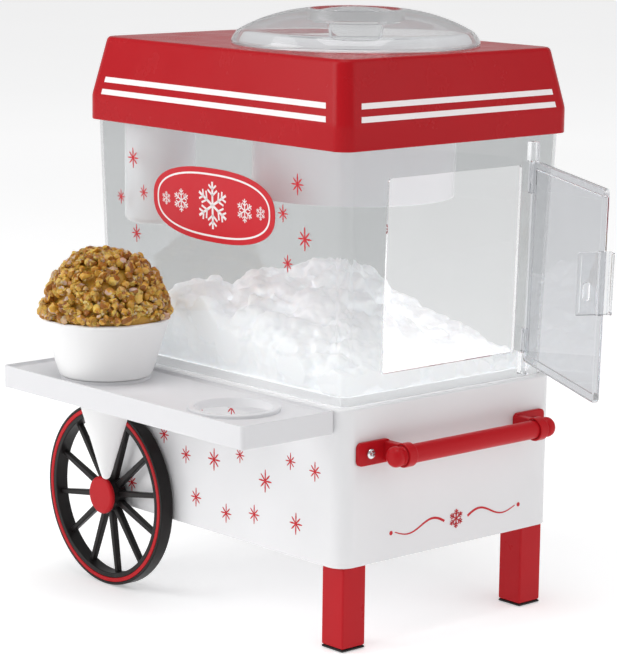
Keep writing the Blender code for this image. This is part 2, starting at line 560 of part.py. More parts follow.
def make_ice_chamber():
    top, low = ROOF_TOP + GAP, DISC_Z + 3.4 * MM
    turned("ice_chamber", [
        (79 * MM, top + 2 * MM), (79 * MM, top), (48 * MM, top), (48 * MM, low), (CHAMBER_R, low),
        (CHAMBER_R, top + 2 * MM)], WHITE, HOPPER_FRAME, ROUND, ring=True)
    top = DECK_LOW - GAP
    turned("chute_shroud", [
        (74 * MM, top), (74 * MM, top - 2.2 * MM), (SHROUD_R, top - 2.2 * MM), (SHROUD_R, SHROUD_LOW),
        (SHROUD_R - 2.2 * MM, SHROUD_LOW), (SHROUD_R - 2.2 * MM, top)], WHITE, HOPPER_FRAME, ROUND, ring=True)
    low, top = 318 * MM, 325 * MM
    spider = turned("bearing_spider", [
        (66.3 * MM, top), (66.3 * MM, low), (63.3 * MM, low), (63.3 * MM, top)], WHITE, HOPPER_FRAME, ROUND, ring=True)
    join(spider, add("spider_hub", rod_mesh("spider_hub", [(0, 0)], 11 * MM, low - 2 * MM, top + 5 * MM), parent=HOPPER_FRAME))
    for k in range(3):
        arm = box_mesh("spider_arm", (5 * MM, 64.5 * MM), around(0, 3.5 * MM), (low, top))
        join(spider, add(f"spider_arm_{k}", arm, parent=HOPPER_FRAME, rotation=(0, 0, 2 * math.pi * (k + 0.25) / 3)))
    cut(spider, add("spider_bore", rod_mesh("spider_bore", [(0, 0)], 7.3 * MM, 300 * MM, 335 * MM), parent=HOPPER_FRAME))
    turned("shaft_bush", [
        (9.5 * MM, top + 7 * MM), (9.5 * MM, top + 5.3 * MM), (7.0 * MM, top + 5.3 * MM), (7.0 * MM, low - 1 * MM),
        (4.3 * MM, low - 1 * MM), (4.3 * MM, top + 7 * MM)], BRONZE, HOPPER_FRAME, SMALL_ROUND, ring=True)


def make_rotor():
    turned("blade_shaft", [
        (0, DISC_Z + 7.2 * MM), (3.0 * MM, DISC_Z + 7.2 * MM), (3.0 * MM, DISC_Z - 4 * MM), (4.0 * MM, DISC_Z - 4 * MM),
        (4.0 * MM, 309 * MM), (0, 309 * MM)], STEEL, HOPPER_FRAME, SMALL_ROUND)
    turned("shaft_collar", [
        (8 * MM, 316.0 * MM), (8 * MM, 311.0 * MM), (4.3 * MM, 311.0 * MM), (4.3 * MM, 316.0 * MM)],
        STEEL, HOPPER_FRAME, SMALL_ROUND, ring=True)
    hub_low, top, low = 332.6 * MM, DISC_Z - GAP, BELT_Z[0] - 2 * MM
    pulley = turned("blade_pulley", [
        (PULLEY_R, top), (PULLEY_R, BELT_Z[0] - 0.6 * MM), (PULLEY_R + 2.2 * MM, BELT_Z[0] - 0.6 * MM),
        (PULLEY_R + 2.2 * MM, low), (47.5 * MM, low), (47.5 * MM, top)], BLACK, HOPPER_FRAME, 36, ring=True)
    hub = rod_mesh("pulley_hub", [(0, 0)], 9 * MM, hub_low, top)
    join(pulley, add("pulley_hub", hub, parent=HOPPER_FRAME))
    for k in range(3):
        arm = box_mesh("pulley_arm", (5 * MM, 49 * MM), (-9 * MM, -3 * MM), (low, top))
        join(pulley, add(f"pulley_arm_{k}", arm, parent=HOPPER_FRAME, rotation=(0, 0, 2 * math.pi * k / 3)))
    wide = rod_mesh("pulley_bore", [(0, 0)], 4.3 * MM, 300 * MM, DISC_Z - 3.7 * MM)
    narrow = rod_mesh("pulley_bore_end", [(0, 0)], 3.3 * MM, 300 * MM, 400 * MM)
    cut(pulley, add("pulley_bore", wide, parent=HOPPER_FRAME), add("pulley_bore_end", narrow, parent=HOPPER_FRAME))

    disc = add("blade_disc", rod_mesh("blade_disc", [(0, 0)], 45.3 * MM, DISC_Z, DISC_Z + 1.5 * MM, ROUND), STEEL, HOPPER_FRAME)
    cut(disc, add("disc_bore", rod_mesh("disc_bore", [(0, 0)], 3.3 * MM, DISC_Z - 9 * MM, DISC_Z + 9 * MM), parent=HOPPER_FRAME))
    blades = bmesh.new()
    for k in range(3):
        turn = 2 * math.pi * k / 3
        slot = box_mesh("disc_slot", (13 * MM, 40 * MM), (0.2 * MM, 6 * MM), around(DISC_Z, 5 * MM))
        cut(disc, add(f"disc_slot_{k}", slot, parent=HOPPER_FRAME, rotation=(0, 0, turn)))
        blade = bmesh.ops.create_cube(blades, size=1.0)["verts"]
        for v in blade:
            x = (12 * MM, 41 * MM)[v.co.x > 0]
            y, lift = ((-9 * MM, 0), (-0.3 * MM, 1.0 * MM))[v.co.y > 0]
            v.co = (x, y, DISC_Z + 1.5 * MM + GAP + lift + (0.9 * MM if v.co.z > 0 else 0))
        bmesh.ops.rotate(blades, verts=blade, cent=(0, 0, 0), matrix=Matrix.Rotation(turn, 3, "Z"))
    seat = DISC_Z + 1.5 * MM + GAP
    washer = turned("shaving_blades", [
        (14 * MM, seat + 0.8 * MM), (14 * MM, seat), (3.3 * MM, seat), (3.3 * MM, seat + 0.8 * MM)],
        STEEL, HOPPER_FRAME, SMALL_ROUND, ring=True)
    join(washer, add("blade_arms", finish_mesh("blade_arms", blades), parent=HOPPER_FRAME))
    seat += 0.8 * MM + GAP
    turned("blade_nut", [
        (0, DISC_Z + 8.6 * MM), (4.0 * MM, DISC_Z + 8.6 * MM), (6.4 * MM, DISC_Z + 5.6 * MM), (6.4 * MM, seat),
        (3.9 * MM, seat), (3.9 * MM, DISC_Z + 7.5 * MM), (0, DISC_Z + 7.5 * MM)], STEEL, HOPPER_FRAME, 6)


MOTOR_SCREWS = [MOTOR_AT + Vector((14, 0)) * MM, MOTOR_AT - Vector((14, 0)) * MM]


def make_motor():
    top = DECK_LOW - GAP
    motor = turned("motor", [
        (0, top), (18 * MM, top), (19.5 * MM, top - 2 * MM), (19.5 * MM, 270 * MM), (6 * MM, 270 * MM),
        (6 * MM, 265 * MM), (0, 265 * MM)], STEEL, MOTOR_FRAME, 20)
    bores = [(at.x - MOTOR_AT.x, at.y - MOTOR_AT.y) for at in MOTOR_SCREWS]
    holes = rod_mesh("motor_screw_holes", bores, 1.9 * MM, top - 9 * MM, top + 5 * MM, 8)
    shaft_hole = rod_mesh("motor_shaft_hole", [(0, 0)], 2.3 * MM, top - 16 * MM, top + 5 * MM, 12)
    cut(motor, add("motor_screw_holes", holes, parent=MOTOR_FRAME), add("motor_shaft_hole", shaft_hole, parent=MOTOR_FRAME))
    for number, at in enumerate(MOTOR_SCREWS, 1):
        screw(f"motor_screw_{number}", 3.2 * MM, STEEL, at=(*at, DECK_TOP + GAP), reach=11 * MM)
    add("motor_shaft", rod_mesh("motor_shaft", [(0, 0)], 2.0 * MM, top - 14 * MM, BELT_Z[1] + 3 * MM, 12), STEEL, MOTOR_FRAME)
    high, low, flange = BELT_Z[1] + 1.8 * MM, BELT_Z[0] - 1.8 * MM, MOTOR_PULLEY_R + 2 * MM
    turned("motor_pulley", [
        (flange, high), (flange, BELT_Z[1] + 0.6 * MM), (MOTOR_PULLEY_R, BELT_Z[1] + 0.6 * MM),
        (MOTOR_PULLEY_R, BELT_Z[0] - 0.6 * MM), (flange, BELT_Z[0] - 0.6 * MM), (flange, low), (2.3 * MM, low),
        (2.3 * MM, high)], BLACK, MOTOR_FRAME, SMALL_ROUND, ring=True)
    skin = 2 * MM
    turned("motor_cover", [
        (0, MOTOR_COVER_LOW + skin), (MOTOR_COVER_R - 3.8 * MM, MOTOR_COVER_LOW + skin),
        (MOTOR_COVER_R - skin, MOTOR_COVER_LOW + 3.8 * MM), (MOTOR_COVER_R - skin, top), (27 * MM, top),
        (27 * MM, top - skin), (MOTOR_COVER_R, top - skin), (MOTOR_COVER_R, MOTOR_COVER_LOW + 3 * MM),
        (MOTOR_COVER_R - 3 * MM, MOTOR_COVER_LOW), (0, MOTOR_COVER_LOW)], WHITE, MOTOR_FRAME, 24)


def belt_outline(offset):
    """The belt's line round both pulleys, offset outwards from the pulley faces."""
    big, small = PULLEY_R + offset, MOTOR_PULLEY_R + offset
    start, end = Vector((0, HOPPER_Y)), MOTOR_AT
    line = end - start
    heading = math.atan2(line.y, line.x)
    lean = math.acos((big - small) / line.length)
    points = []
    for k in range(33):
        turn = heading + lean + (2 * math.pi - 2 * lean) * k / 32
        points.append(start + big * Vector((math.cos(turn), math.sin(turn))))
    for k in range(13):
        turn = heading - lean + 2 * lean * k / 12
        points.append(end + small * Vector((math.cos(turn), math.sin(turn))))
    return points


def make_belt():
    line = bpy.data.curves.new("drive_belt", "CURVE")
    line.dimensions = "2D"
    line.fill_mode = "BOTH"
    line.extrude = (BELT_Z[1] - BELT_Z[0]) / 2 - 0.3 * MM
    for offset in (GAP, GAP + BELT_THICK):
        points = belt_outline(offset)
        spline = line.splines.new("POLY")
        spline.points.add(len(points) - 1)
        for place, point in zip(spline.points, points):
            place.co = (*point, 0, 1)
        spline.use_cyclic_u = True
    belt = bpy.data.objects.new("drive_belt", line)
    line.materials.append(BLACK)
    belt.location = (0, 0, (BELT_Z[0] + BELT_Z[1]) / 2)
    belt.parent = CART
    PARTS.objects.link(belt)


def make_lid():
    """A shallow crown that turns down to its rim, with a sleeve in its middle in which the knob slides."""
    def crown(radius, drop=0.0):
        return radius, LID_CROWN - drop - 19.0 * MM * (radius / LID_R) ** 2.8
    skin = CLEAR_WALL
    outside = [crown(r) for r in (KNOB_HOLE_R, 46 * MM, 65 * MM, 79 * MM)]
    rim = [(LID_R, LID_LOW + 2.4 * MM), (LID_R - 0.3 * MM, LID_LOW), (LID_R - 2.4 * MM, LID_LOW)]
    inside = [crown(r, skin) for r in (77.5 * MM, 64 * MM, 46 * MM, KNOB_HOLE_R + skin)]
    sleeve = [(KNOB_HOLE_R + skin, 404 * MM), (KNOB_HOLE_R, 404 * MM)]
    turned("dome_lid", outside + rim + inside + sleeve, CLEAR, HOPPER_FRAME, 32, ring=True)
    turned("plunger_knob", in_mm([
        (0, 412.2), (14.0, 411.8), (24.0, 410.5), (29.8, 407.2), (29.8, 402.3), (17.2, 402.3), (17.0, 399.0),
        (15.0, 399.0), (15.0, 404.0), (18.0, 407.6), (12.0, 409.4), (0, 410.2)]), CLEAR, HOPPER_FRAME, 24)
    turned("ice_pusher", in_mm([
        (19.6, 402.0), (15.6, 384.0), (40.5, 384.0), (40.5, 381.0), (13.6, 381.0), (17.7, 402.0)]),
        CLEAR, HOPPER_FRAME, 24, ring=True)


# ---------------------------------------------------------------- switch, gland and leads
SWITCH_OFF = math.radians(-7)


def make_switch():
    body = add("switch_body", box_mesh(
        "switch_body", around(0, 6.9 * MM), (GAP, 1.6 * MM), around(0, 11 * MM)), BLACK, SWITCH_FRAME)
    tub = add("switch_tub", box_mesh("switch_tub", around(0, 5.9 * MM), (-11 * MM, 1 * MM), around(0, 9.9 * MM)),
              parent=SWITCH_FRAME)
    pocket = add("switch_pocket", box_mesh(
        "switch_pocket", around(0, 4.9 * MM), (-8 * MM, 5 * MM), around(0, 8.8 * MM)), parent=SWITCH_FRAME)
    cut(join(body, tub), pocket)
    pivot = empty("rocker_pivot", (0, -2.5 * MM, 0), SWITCH_FRAME, (SWITCH_OFF, 0, 0))
    add("switch_rocker", box_mesh("switch_rocker", around(0, 4.5 * MM), (-3 * MM, 6.2 * MM), around(0, 7.0 * MM)), RED, pivot)


def make_gland():
    turned("cord_gland", [
        (4.8 * MM, 18 * MM), (6.2 * MM, 3.0 * MM), (9 * MM, 3.0 * MM), (9 * MM, GAP), (5.0 * MM, GAP), (5.0 * MM, -6 * MM),
        (3.3 * MM, -6 * MM), (3.3 * MM, 18 * MM)], BLACK, GLAND_FRAME, SMALL_ROUND, ring=True)


def make_lead():
    """The lead inside the roof, from the gland past the switch to the motor."""
    switch, gland = (frame.location for frame in (SWITCH_FRAME, GLAND_FRAME))
    motor = Vector((MOTOR_AT.x + 22 * MM, MOTOR_AT.y + 8 * MM, DECK_TOP + 1.8 * MM))
    run = [gland + Vector(step) * MM for step in ((0, -9.5, -2), (-6, -16, -4), (-20, -22, -6))]
    run += [switch + Vector(step) * MM for step in ((24, -24, -6), (8, -20, -3), (0, -16, -2.6), (-8, -20, -6))]
    run += [switch + Vector((-14, -20, -16)) * MM, motor + Vector((6, 0, 3)) * MM, motor]
    line = bpy.data.curves.new("wiring_lead", "CURVE")
    line.dimensions = "3D"
    line.bevel_depth = 1.4 * MM
    line.bevel_resolution = 1
    line.use_fill_caps = True
    spline = line.splines.new("POLY")
    spline.points.add(len(run) - 1)
    for place, point in zip(spline.points, run):
        place.co = (*point, 1)
    lead = bpy.data.objects.new("wiring_lead", line)
    line.materials.append(BLACK)
    lead.parent = CART
    PARTS.objects.link(lead)


# ---------------------------------------------------------------- ice
ICE_PEAKS = [  # middle x, middle y, height, spread, all in millimetres
    (-22, -40, 58, 34), (-45, 20, 34, 34), (-50, 85, 20, 34), (-60, -85, 24, 30), (50, -60, 20, 36),
]


def ice_height(x, y):
    """Height of the heap over the pan's rim."""
    return 4 * MM + sum(
        height * MM * math.exp(-((x / MM - px) ** 2 + (y / MM - py) ** 2) / (2 * spread ** 2))
        for px, py, height, spread in ICE_PEAKS)


def make_ice_heap():
    """The heap fills the pan and lies over its rim, up to the case's walls."""
    rim = BASE_TOP + 6 * MM + GAP
    half = CASE_LOW_HALF - Vector((CLEAR_WALL + 1.1 * MM, CLEAR_WALL + 1.1 * MM))
    shape = bmesh.new()
    bmesh.ops.create_grid(shape, x_segments=11, y_segments=14, size=1.0)
    for v in shape.verts:
        x, y = v.co.x * half.x, v.co.y * half.y
        v.co = (x, y, rim + ice_height(x, y))
    grown = bmesh.ops.extrude_face_region(shape, geom=shape.faces[:])["geom"]
    for v in (g for g in grown if isinstance(g, bmesh.types.BMVert)):
        v.co.z = rim
    bmesh.ops.recalc_face_normals(shape, faces=shape.faces)
    corners = [e for e in shape.edges if vertical(e) and e.calc_face_angle() > 1.2]
    bmesh.ops.bevel(shape, geom=corners, offset=CASE_CORNER, segments=3, affect="EDGES", profile=0.5)
    heap = add("shaved_ice_heap", finish_mesh("shaved_ice_heap", shape), ICE)
    inner = CASE_LOW_HALF - Vector((CLEAR_WALL + 2.5 * MM, CLEAR_WALL + 2.5 * MM))
    join(heap, add("ice_in_pan", loft_mesh("ice_in_pan", [
        (*inner, BASE_TOP + 1.8 * MM + GAP), (*inner, rim + 2 * MM)], CASE_CORNER - 4.5 * MM)))


def main():
    make_base()
    make_legs()
    make_floor_pan()
    make_axle()
    for side, frame in WHEEL_FRAMES.items():
        make_wheel(side, frame)
    make_handle()
    make_shelf()
    make_cup()
    make_case()
    make_door()
    make_roof()
    make_ice_chamber()
    make_rotor()
    make_motor()
    make_belt()
    make_lid()
    make_switch()
    make_gland()
    make_lead()
    make_ice_heap()


main()
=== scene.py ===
"""Looks of the shaved ice machine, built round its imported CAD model.

Blender 4.5 script. Shapes are drawn in millimetres round the middle of the cart's base, at floor level,
with the door side towards -Y, and are carried into the frame's metres by the matrices below.
"""

import math
import random

import bmesh
import bpy
from mathutils import Matrix, Vector, noise


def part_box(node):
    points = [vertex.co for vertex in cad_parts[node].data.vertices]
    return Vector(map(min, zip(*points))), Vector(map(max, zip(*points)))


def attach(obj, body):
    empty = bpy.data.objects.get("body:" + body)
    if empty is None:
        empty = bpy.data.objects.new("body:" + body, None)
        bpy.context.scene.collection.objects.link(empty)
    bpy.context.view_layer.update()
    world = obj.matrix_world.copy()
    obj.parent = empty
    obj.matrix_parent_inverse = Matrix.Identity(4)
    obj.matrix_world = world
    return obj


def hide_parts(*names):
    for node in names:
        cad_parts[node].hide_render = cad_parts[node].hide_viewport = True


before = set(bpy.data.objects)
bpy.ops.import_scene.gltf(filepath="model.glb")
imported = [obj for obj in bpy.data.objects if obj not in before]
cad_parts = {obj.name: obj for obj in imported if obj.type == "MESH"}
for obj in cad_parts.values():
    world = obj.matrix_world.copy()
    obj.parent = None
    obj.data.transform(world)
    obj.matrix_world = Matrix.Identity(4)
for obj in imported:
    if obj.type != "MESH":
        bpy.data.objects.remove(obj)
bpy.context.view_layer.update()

# ------------------------ main sizes in millimetres
BASE_LOW, BASE_TOP, CASE_TOP = 57.0, 163.0, 335.7
ROOF_LOW, ROOF_SHOULDER, ROOF_TOP = 329.5, 346.5, 387.0
BASE_HALF = (99.5, 129.5)
CASE_HALF, CASE_FLARE = (95.0, 124.5), (5.2, 4.9)  # at its bottom, and what it gains up to its top
ROOF_HALF, ROOF_TOP_HALF = (105.0, 133.0), (97.8, 124.5)
GAP = 0.3  # between pieces that are mounted on each other

# ------------------------ frames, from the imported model
MM = 0.001


def middle(node):
    low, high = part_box(node)
    return (low + high) / 2


def in_mm(place, upright=False):
    """A matrix that carries millimetres to a place in the frame. An upright one keeps heights from the floor."""
    place = Vector((place.x, place.y, 0)) if upright else place
    return Matrix.Translation(place) @ Matrix.Scale(MM, 4)


def turn(angle, axis):
    return Matrix.Rotation(angle, 4, axis)


def shift(x=0.0, y=0.0, z=0.0):
    return Matrix.Translation((x, y, z))


CART = in_mm(middle("base_shell"), upright=True)
HOPPER = in_mm(middle("ice_chamber"), upright=True)
MOTOR = in_mm(middle("motor_cover"), upright=True)
CUP = in_mm(middle("snow_cone_cup"), upright=True)
WHEELS = {
    "left": in_mm(middle("wheel_axle")) @ turn(-math.pi / 2, "Y"),
    "right": in_mm(middle("wheel_axle")) @ turn(math.pi / 2, "Y"),
}
SIDES = {"left": -1, "right": 1}

SIDE_LEAN, FRONT_LEAN = (math.atan2(flare, CASE_TOP - BASE_TOP) for flare in CASE_FLARE)
HINGE_FOOT = (69.5, -128.8, BASE_TOP)
HINGE = CART @ shift(*HINGE_FOOT) @ turn(FRONT_LEAN, "X")
DOOR = HINGE @ turn(math.radians(64.0), "Z")  # as far open as it rests
ROOF_SLOPE = math.atan2(ROOF_HALF[1] - ROOF_TOP_HALF[1], ROOF_TOP - ROOF_SHOULDER)
SLOPE_MIDDLE = ((ROOF_HALF[1] + ROOF_TOP_HALF[1]) / 2, (ROOF_TOP + ROOF_SHOULDER) / 2)  # y and z, at the rear
SWITCH = CART @ shift(-30, *SLOPE_MIDDLE) @ turn(ROOF_SLOPE, "X")
GLAND = CART @ shift(45, *SLOPE_MIDDLE) @ turn(ROOF_SLOPE - math.pi / 2, "X")


# ------------------------ shaping tools
def soften(line, radius, steps=4, closed=False):
    """The (r, z) line with each corner rounded. radius is one number, or one for each point."""
    count = len(line)
    radii = radius if isinstance(radius, (list, tuple)) else [radius] * count
    made = []
    for i, point in enumerate(line):
        here = Vector(point)
        if radii[i] <= 0 or (not closed and i in (0, count - 1)):
            made.append(here)
            continue
        before, after = Vector(line[i - 1]) - here, Vector(line[(i + 1) % count]) - here
        reach = min(radii[i], 0.48 * before.length, 0.48 * after.length)
        start, end = here + before.normalized() * reach, here + after.normalized() * reach
        for k in range(steps + 1):
            t = k / steps
            made.append(start * (1 - t) ** 2 + here * 2 * t * (1 - t) + end * t ** 2)
    return [tuple(p) for p in made]


def circle(radius, z, count, centre=(0, 0)):
    if radius < 1e-4:
        return [Vector((*centre, z))]
    return [Vector((centre[0] + radius * math.cos(2 * math.pi * k / count),
                    centre[1] + radius * math.sin(2 * math.pi * k / count), z)) for k in range(count)]


def oblong(half_x, half_y, corner, z, steps=8, centre=(0, 0)):
    """A rounded rectangle of 4 * (steps + 1) points."""
    ring = []
    for k, (sx, sy) in enumerate(((1, 1), (-1, 1), (-1, -1), (1, -1))):
        for i in range(steps + 1):
            angle = math.pi / 2 * (k + i / steps)
            ring.append(Vector((centre[0] + sx * (half_x - corner) + corner * math.cos(angle),
                                centre[1] + sy * (half_y - corner) + corner * math.sin(angle), z)))
    return ring


def skin(rings, closed=False):
    """A body through rings of points. Its ends are capped unless the last ring joins the first."""
    shape = bmesh.new()
    made = [[shape.verts.new(p) for p in ring] for ring in rings]
    pairs = list(zip(made, made[1:])) + ([(made[-1], made[0])] if closed else [])
    for a, b in pairs:
        for i in range(max(len(a), len(b))):
            j = i + 1
            corners = [a[i % len(a)], a[j % len(a)], b[j % len(b)], b[i % len(b)]]
            corners = [v for n, v in enumerate(corners) if v not in corners[:n]]
            if len(corners) > 2:
                shape.faces.new(corners)
    if not closed:
        for ring in (made[0], made[-1]):
            if len(ring) > 2:
                shape.faces.new(ring)
    bmesh.ops.recalc_face_normals(shape, faces=shape.faces)
    return shape


def turned(line, sides=96, closed=False, centre=(0, 0)):
    return skin([circle(r, z, sides, centre) for r, z in line], closed)


def lathe(line, radius, steps, sides, centre=(0, 0)):
    """A ring turned from a closed line with rounded corners."""
    return turned(soften(line, radius, steps, closed=True), sides, closed=True, centre=centre)


def block(x, y, z, edge=0.8, steps=3):
    """A box between the pairs x, y and z with rounded edges."""
    shape = bmesh.new()
    for v in bmesh.ops.create_cube(shape, size=1.0)["verts"]:
        v.co = [min(pair) if side < 0 else max(pair) for side, pair in zip(v.co, (x, y, z))]
    if edge:
        bmesh.ops.bevel(shape, geom=shape.edges[:], offset=edge, segments=steps, affect="EDGES", profile=0.5)
    return shape


def rod(radius, low, high, edge=0.6, sides=48, centre=(0, 0)):
    line = soften([(0, low), (radius, low), (radius, high), (0, high)], edge)
    return turned(line, sides, centre=centre)


def around(middle_value, half):
    return (middle_value - half, middle_value + half)


def gather(*shapes):
    """Shapes, or (shape, matrix) pairs, as one."""
    whole = bmesh.new()
    for item in shapes:
        shape, matrix = item if isinstance(item, tuple) else (item, None)
        if matrix is not None:
            shape.transform(matrix)
        carrier = bpy.data.meshes.new("carrier")
        shape.to_mesh(carrier)
        shape.free()
        whole.from_mesh(carrier)
        bpy.data.meshes.remove(carrier)
    return whole


def temporary(shape):
    mesh = bpy.data.meshes.new("temporary")
    shape.to_mesh(mesh)
    shape.free()
    made = bpy.data.objects.new("temporary", mesh)
    bpy.context.scene.collection.objects.link(made)
    return made


def finished(body, *tools):
    """The shape of a temporary object after its modifiers. It and the objects they used are removed."""
    mesh = bpy.data.meshes.new_from_object(body.evaluated_get(bpy.context.evaluated_depsgraph_get()))
    whole = bmesh.new()
    whole.from_mesh(mesh)
    bpy.data.meshes.remove(mesh)
    for made in (body, *tools):
        bpy.data.objects.remove(made, do_unlink=True)
    return whole


def combine(shape, *others):
    """shape after booleans: others are (operation, shape) pairs, all in the same millimetres."""
    body = temporary(shape)
    tools = []
    for operation, other in others:
        tool = temporary(other)
        tools.append(tool)
        step = body.modifiers.new("step", "BOOLEAN")
        step.operation, step.object, step.solver = operation, tool, "EXACT"
    return finished(body, *tools)


def piece(name, shape, matrix, material, body, hides=(), sharp=40.0, flat=False):
    """A finished piece: its mesh is carried into the frame, smoothed, painted and tied to its CAD body."""
    mesh = bpy.data.meshes.new(name)
    shape.transform(matrix)
    bmesh.ops.remove_doubles(shape, verts=shape.verts, dist=1e-7)
    shape.to_mesh(mesh)
    shape.free()
    made = bpy.data.objects.new(name, mesh)
    bpy.context.scene.collection.objects.link(made)
    mesh.materials.append(material)
    if not flat:
        mesh.polygons.foreach_set("use_smooth", [True] * len(mesh.polygons))
        mesh.set_sharp_from_angle(angle=math.radians(sharp))
        even = made.modifiers.new("even", "WEIGHTED_NORMAL")
        even.keep_sharp = True
    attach(made, body)
    if hides:
        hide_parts(*hides)


# ------------------------ materials
def with_stops(node, stops):
    """The ramp node, given its (position, colour) stops."""
    points = node.color_ramp.elements
    while len(points) < len(stops):
        points.new(0.5)
    for point, (place, colour) in zip(points, stops):
        point.position, point.color = place, (*colour, 1.0)
    return node


class Nodes:
    """A small help for wiring a material."""

    def __init__(self, name):
        self.material = bpy.data.materials.new(name)
        self.material.use_nodes = True
        self.tree = self.material.node_tree
        self.shader = self.tree.nodes["Principled BSDF"]
        self.output = self.tree.nodes["Material Output"]
        self.where = self.add("ShaderNodeTexCoord").outputs["Object"]

    def add(self, kind, inputs=(), **settings):
        node = self.tree.nodes.new(kind)
        for key, value in settings.items():
            setattr(node, key, value)
        for key, value in dict(inputs).items():
            if isinstance(value, bpy.types.NodeSocket):
                self.tree.links.new(value, node.inputs[key])
            else:
                node.inputs[key].default_value = value
        return node

    def noise(self, scale, detail=3.0, rough=0.5, where=None):
        return self.add("ShaderNodeTexNoise", {
            "Vector": where or self.where, "Scale": scale, "Detail": detail, "Roughness": rough,
        }).outputs["Fac"]

    def ramp(self, factor, stops):
        return with_stops(self.add("ShaderNodeValToRGB", {"Fac": factor}), stops).outputs["Color"]

    def range(self, factor, low, high, from_low=0.3, from_high=0.7):
        return self.add("ShaderNodeMapRange", {
            "Value": factor, "From Min": from_low, "From Max": from_high, "To Min": low, "To Max": high,
        }).outputs["Result"]

    def math(self, operation, a, b=0.0):
        return self.add("ShaderNodeMath", {0: a, 1: b}, operation=operation).outputs[0]

    def bump(self, height, strength, distance=0.001, normal=None):
        inputs = {"Height": height, "Strength": strength, "Distance": distance}
        if normal is not None:
            inputs["Normal"] = normal
        return self.add("ShaderNodeBump", inputs).outputs["Normal"]

    def set(self, **sockets):
        for key, value in sockets.items():
            key = key.replace("_", " ")
            if isinstance(value, bpy.types.NodeSocket):
                self.tree.links.new(value, self.shader.inputs[key])
            else:
                self.shader.inputs[key].default_value = value


def shade(colour, factor):
    return tuple(min(1.0, c * factor) for c in colour)


def mottled(n, factor, colour, dark, light, low=0.3, high=0.7):
    """The colour, darker and lighter with a factor."""
    return n.ramp(factor, [(low, shade(colour, dark)), (high, shade(colour, light))])


def moulded(name, colour, roughness, mottle=0.03, specular=0.5, grain=0.0, glow=0.0):
    """Moulded plastic: a faint mottle in its colour, smudges in its gloss, an orange-peel skin and fine grain, and an
    even painted glow where one is given.
    """
    n = Nodes(name)
    n.set(Base_Color=mottled(n, n.noise(9.0, 4.0, 0.55), colour, 1 - mottle, 1 + mottle))
    n.set(Roughness=n.range(n.noise(38.0, 5.0, 0.6), roughness * 0.8, roughness * 1.25))
    normal = n.bump(n.noise(260.0, 2.0, 0.4), 0.06, 0.0006)
    if grain:
        normal = n.bump(n.noise(2600.0, 2.0, 0.6), grain, 0.0002, normal)
    n.set(Normal=normal, IOR=1.46, Specular_IOR_Level=specular)
    # Painted light: any emission here brightens the plastic evenly, though it is no lamp.
    n.set(Emission_Color=(*colour, 1.0), Emission_Strength=glow)
    return n.material


def clear(name, tint, roughness, ior, milky=0.0):
    """Clear moulded plastic. Lamps and scattered light pass straight through it, so what is inside stays lit.
    So does light that is caught inside an edge, after a few turns."""
    n = Nodes(name)
    n.set(Base_Color=mottled(n, n.noise(14.0, 3.0), tint, 0.985, 1.01))
    n.set(Roughness=n.range(n.noise(70.0, 6.0, 0.7), roughness * 0.5, roughness * 2.5, 0.45, 0.75))
    n.set(Normal=n.bump(n.noise(24.0, 2.0, 0.4), 0.02, 0.002))
    n.set(Transmission_Weight=1.0 - milky, IOR=ior)
    path = n.add("ShaderNodeLightPath")
    passing = n.math("MAXIMUM", path.outputs["Is Shadow Ray"], path.outputs["Is Diffuse Ray"])
    passing = n.math("MAXIMUM", passing, n.math("GREATER_THAN", path.outputs["Ray Depth"], 3.5))
    through = n.add("ShaderNodeBsdfTransparent", {"Color": (0.985, 0.985, 0.985, 1.0)})
    mix = n.add("ShaderNodeMixShader", {0: passing, 1: n.shader.outputs[0], 2: through.outputs[0]})
    n.tree.links.new(mix.outputs[0], n.output.inputs["Surface"])
    return n.material


def metal(name, colour, roughness, brushed=0.0, mottle=0.05):
    n = Nodes(name)
    stretched = n.add("ShaderNodeMapping", {"Vector": n.where, "Scale": (0.04, 1.0, 1.0)}).outputs["Vector"]
    lines = n.noise(900.0, 4.0, 0.6, stretched)
    n.set(Base_Color=mottled(n, n.noise(60.0, 4.0), colour, 1 - mottle, 1 + mottle))
    n.set(Roughness=n.range(lines, roughness * 0.75, roughness * 1.3), Metallic=1.0)
    n.set(Normal=n.bump(lines, 0.05 + brushed, 0.0002))
    return n.material


def rubber(name, colour, roughness):
    n = Nodes(name)
    n.set(Base_Color=mottled(n, n.noise(45.0, 5.0), colour, 0.8, 1.5, high=0.72))
    n.set(Roughness=n.range(n.noise(90.0, 4.0), roughness * 0.85, roughness * 1.15))
    n.set(Normal=n.bump(n.noise(1500.0, 3.0, 0.7), 0.25, 0.0003), IOR=1.5, Specular_IOR_Level=0.35)
    return n.material


def snow(name):
    """Packed fluffy ice: bright, with painted shade, faintly blue, in its dips and creases, crumbly at two scales and
    glinting here and there.
    Its emission is a painted glow, in place of the light that the ice passes on inside itself."""
    n = Nodes(name)
    # Painted shade: where pointiness is low, in dips and creases, the ice is darker and bluer.
    hollow_shade_mask = n.add("ShaderNodeNewGeometry").outputs["Pointiness"]
    hollow_shade_tones = [(0.42, (0.88, 0.90, 0.925)), (0.52, (0.955, 0.96, 0.965)), (0.6, (0.99, 0.99, 0.99))]
    n.set(Base_Color=n.ramp(hollow_shade_mask, hollow_shade_tones))
    crumbs = n.bump(n.noise(420.0, 6.0, 0.7), 0.22, 0.001)
    flakes = n.add("ShaderNodeTexVoronoi", {"Vector": n.where, "Scale": 900.0}).outputs["Distance"]
    n.set(Normal=n.bump(flakes, 0.1, 0.0005, crumbs))
    n.set(Roughness=n.range(n.noise(800.0, 2.0), 0.35, 0.75), Specular_IOR_Level=0.4)
    n.set(Subsurface_Weight=0.25, Subsurface_Radius=(0.004, 0.005, 0.006), Subsurface_Scale=1.0)
    # Painted glow: this emission brightens the whole heap evenly, though the ice is no lamp.
    n.set(Emission_Color=(0.96, 0.98, 1.0, 1.0), Emission_Strength=0.42)
    return n.material


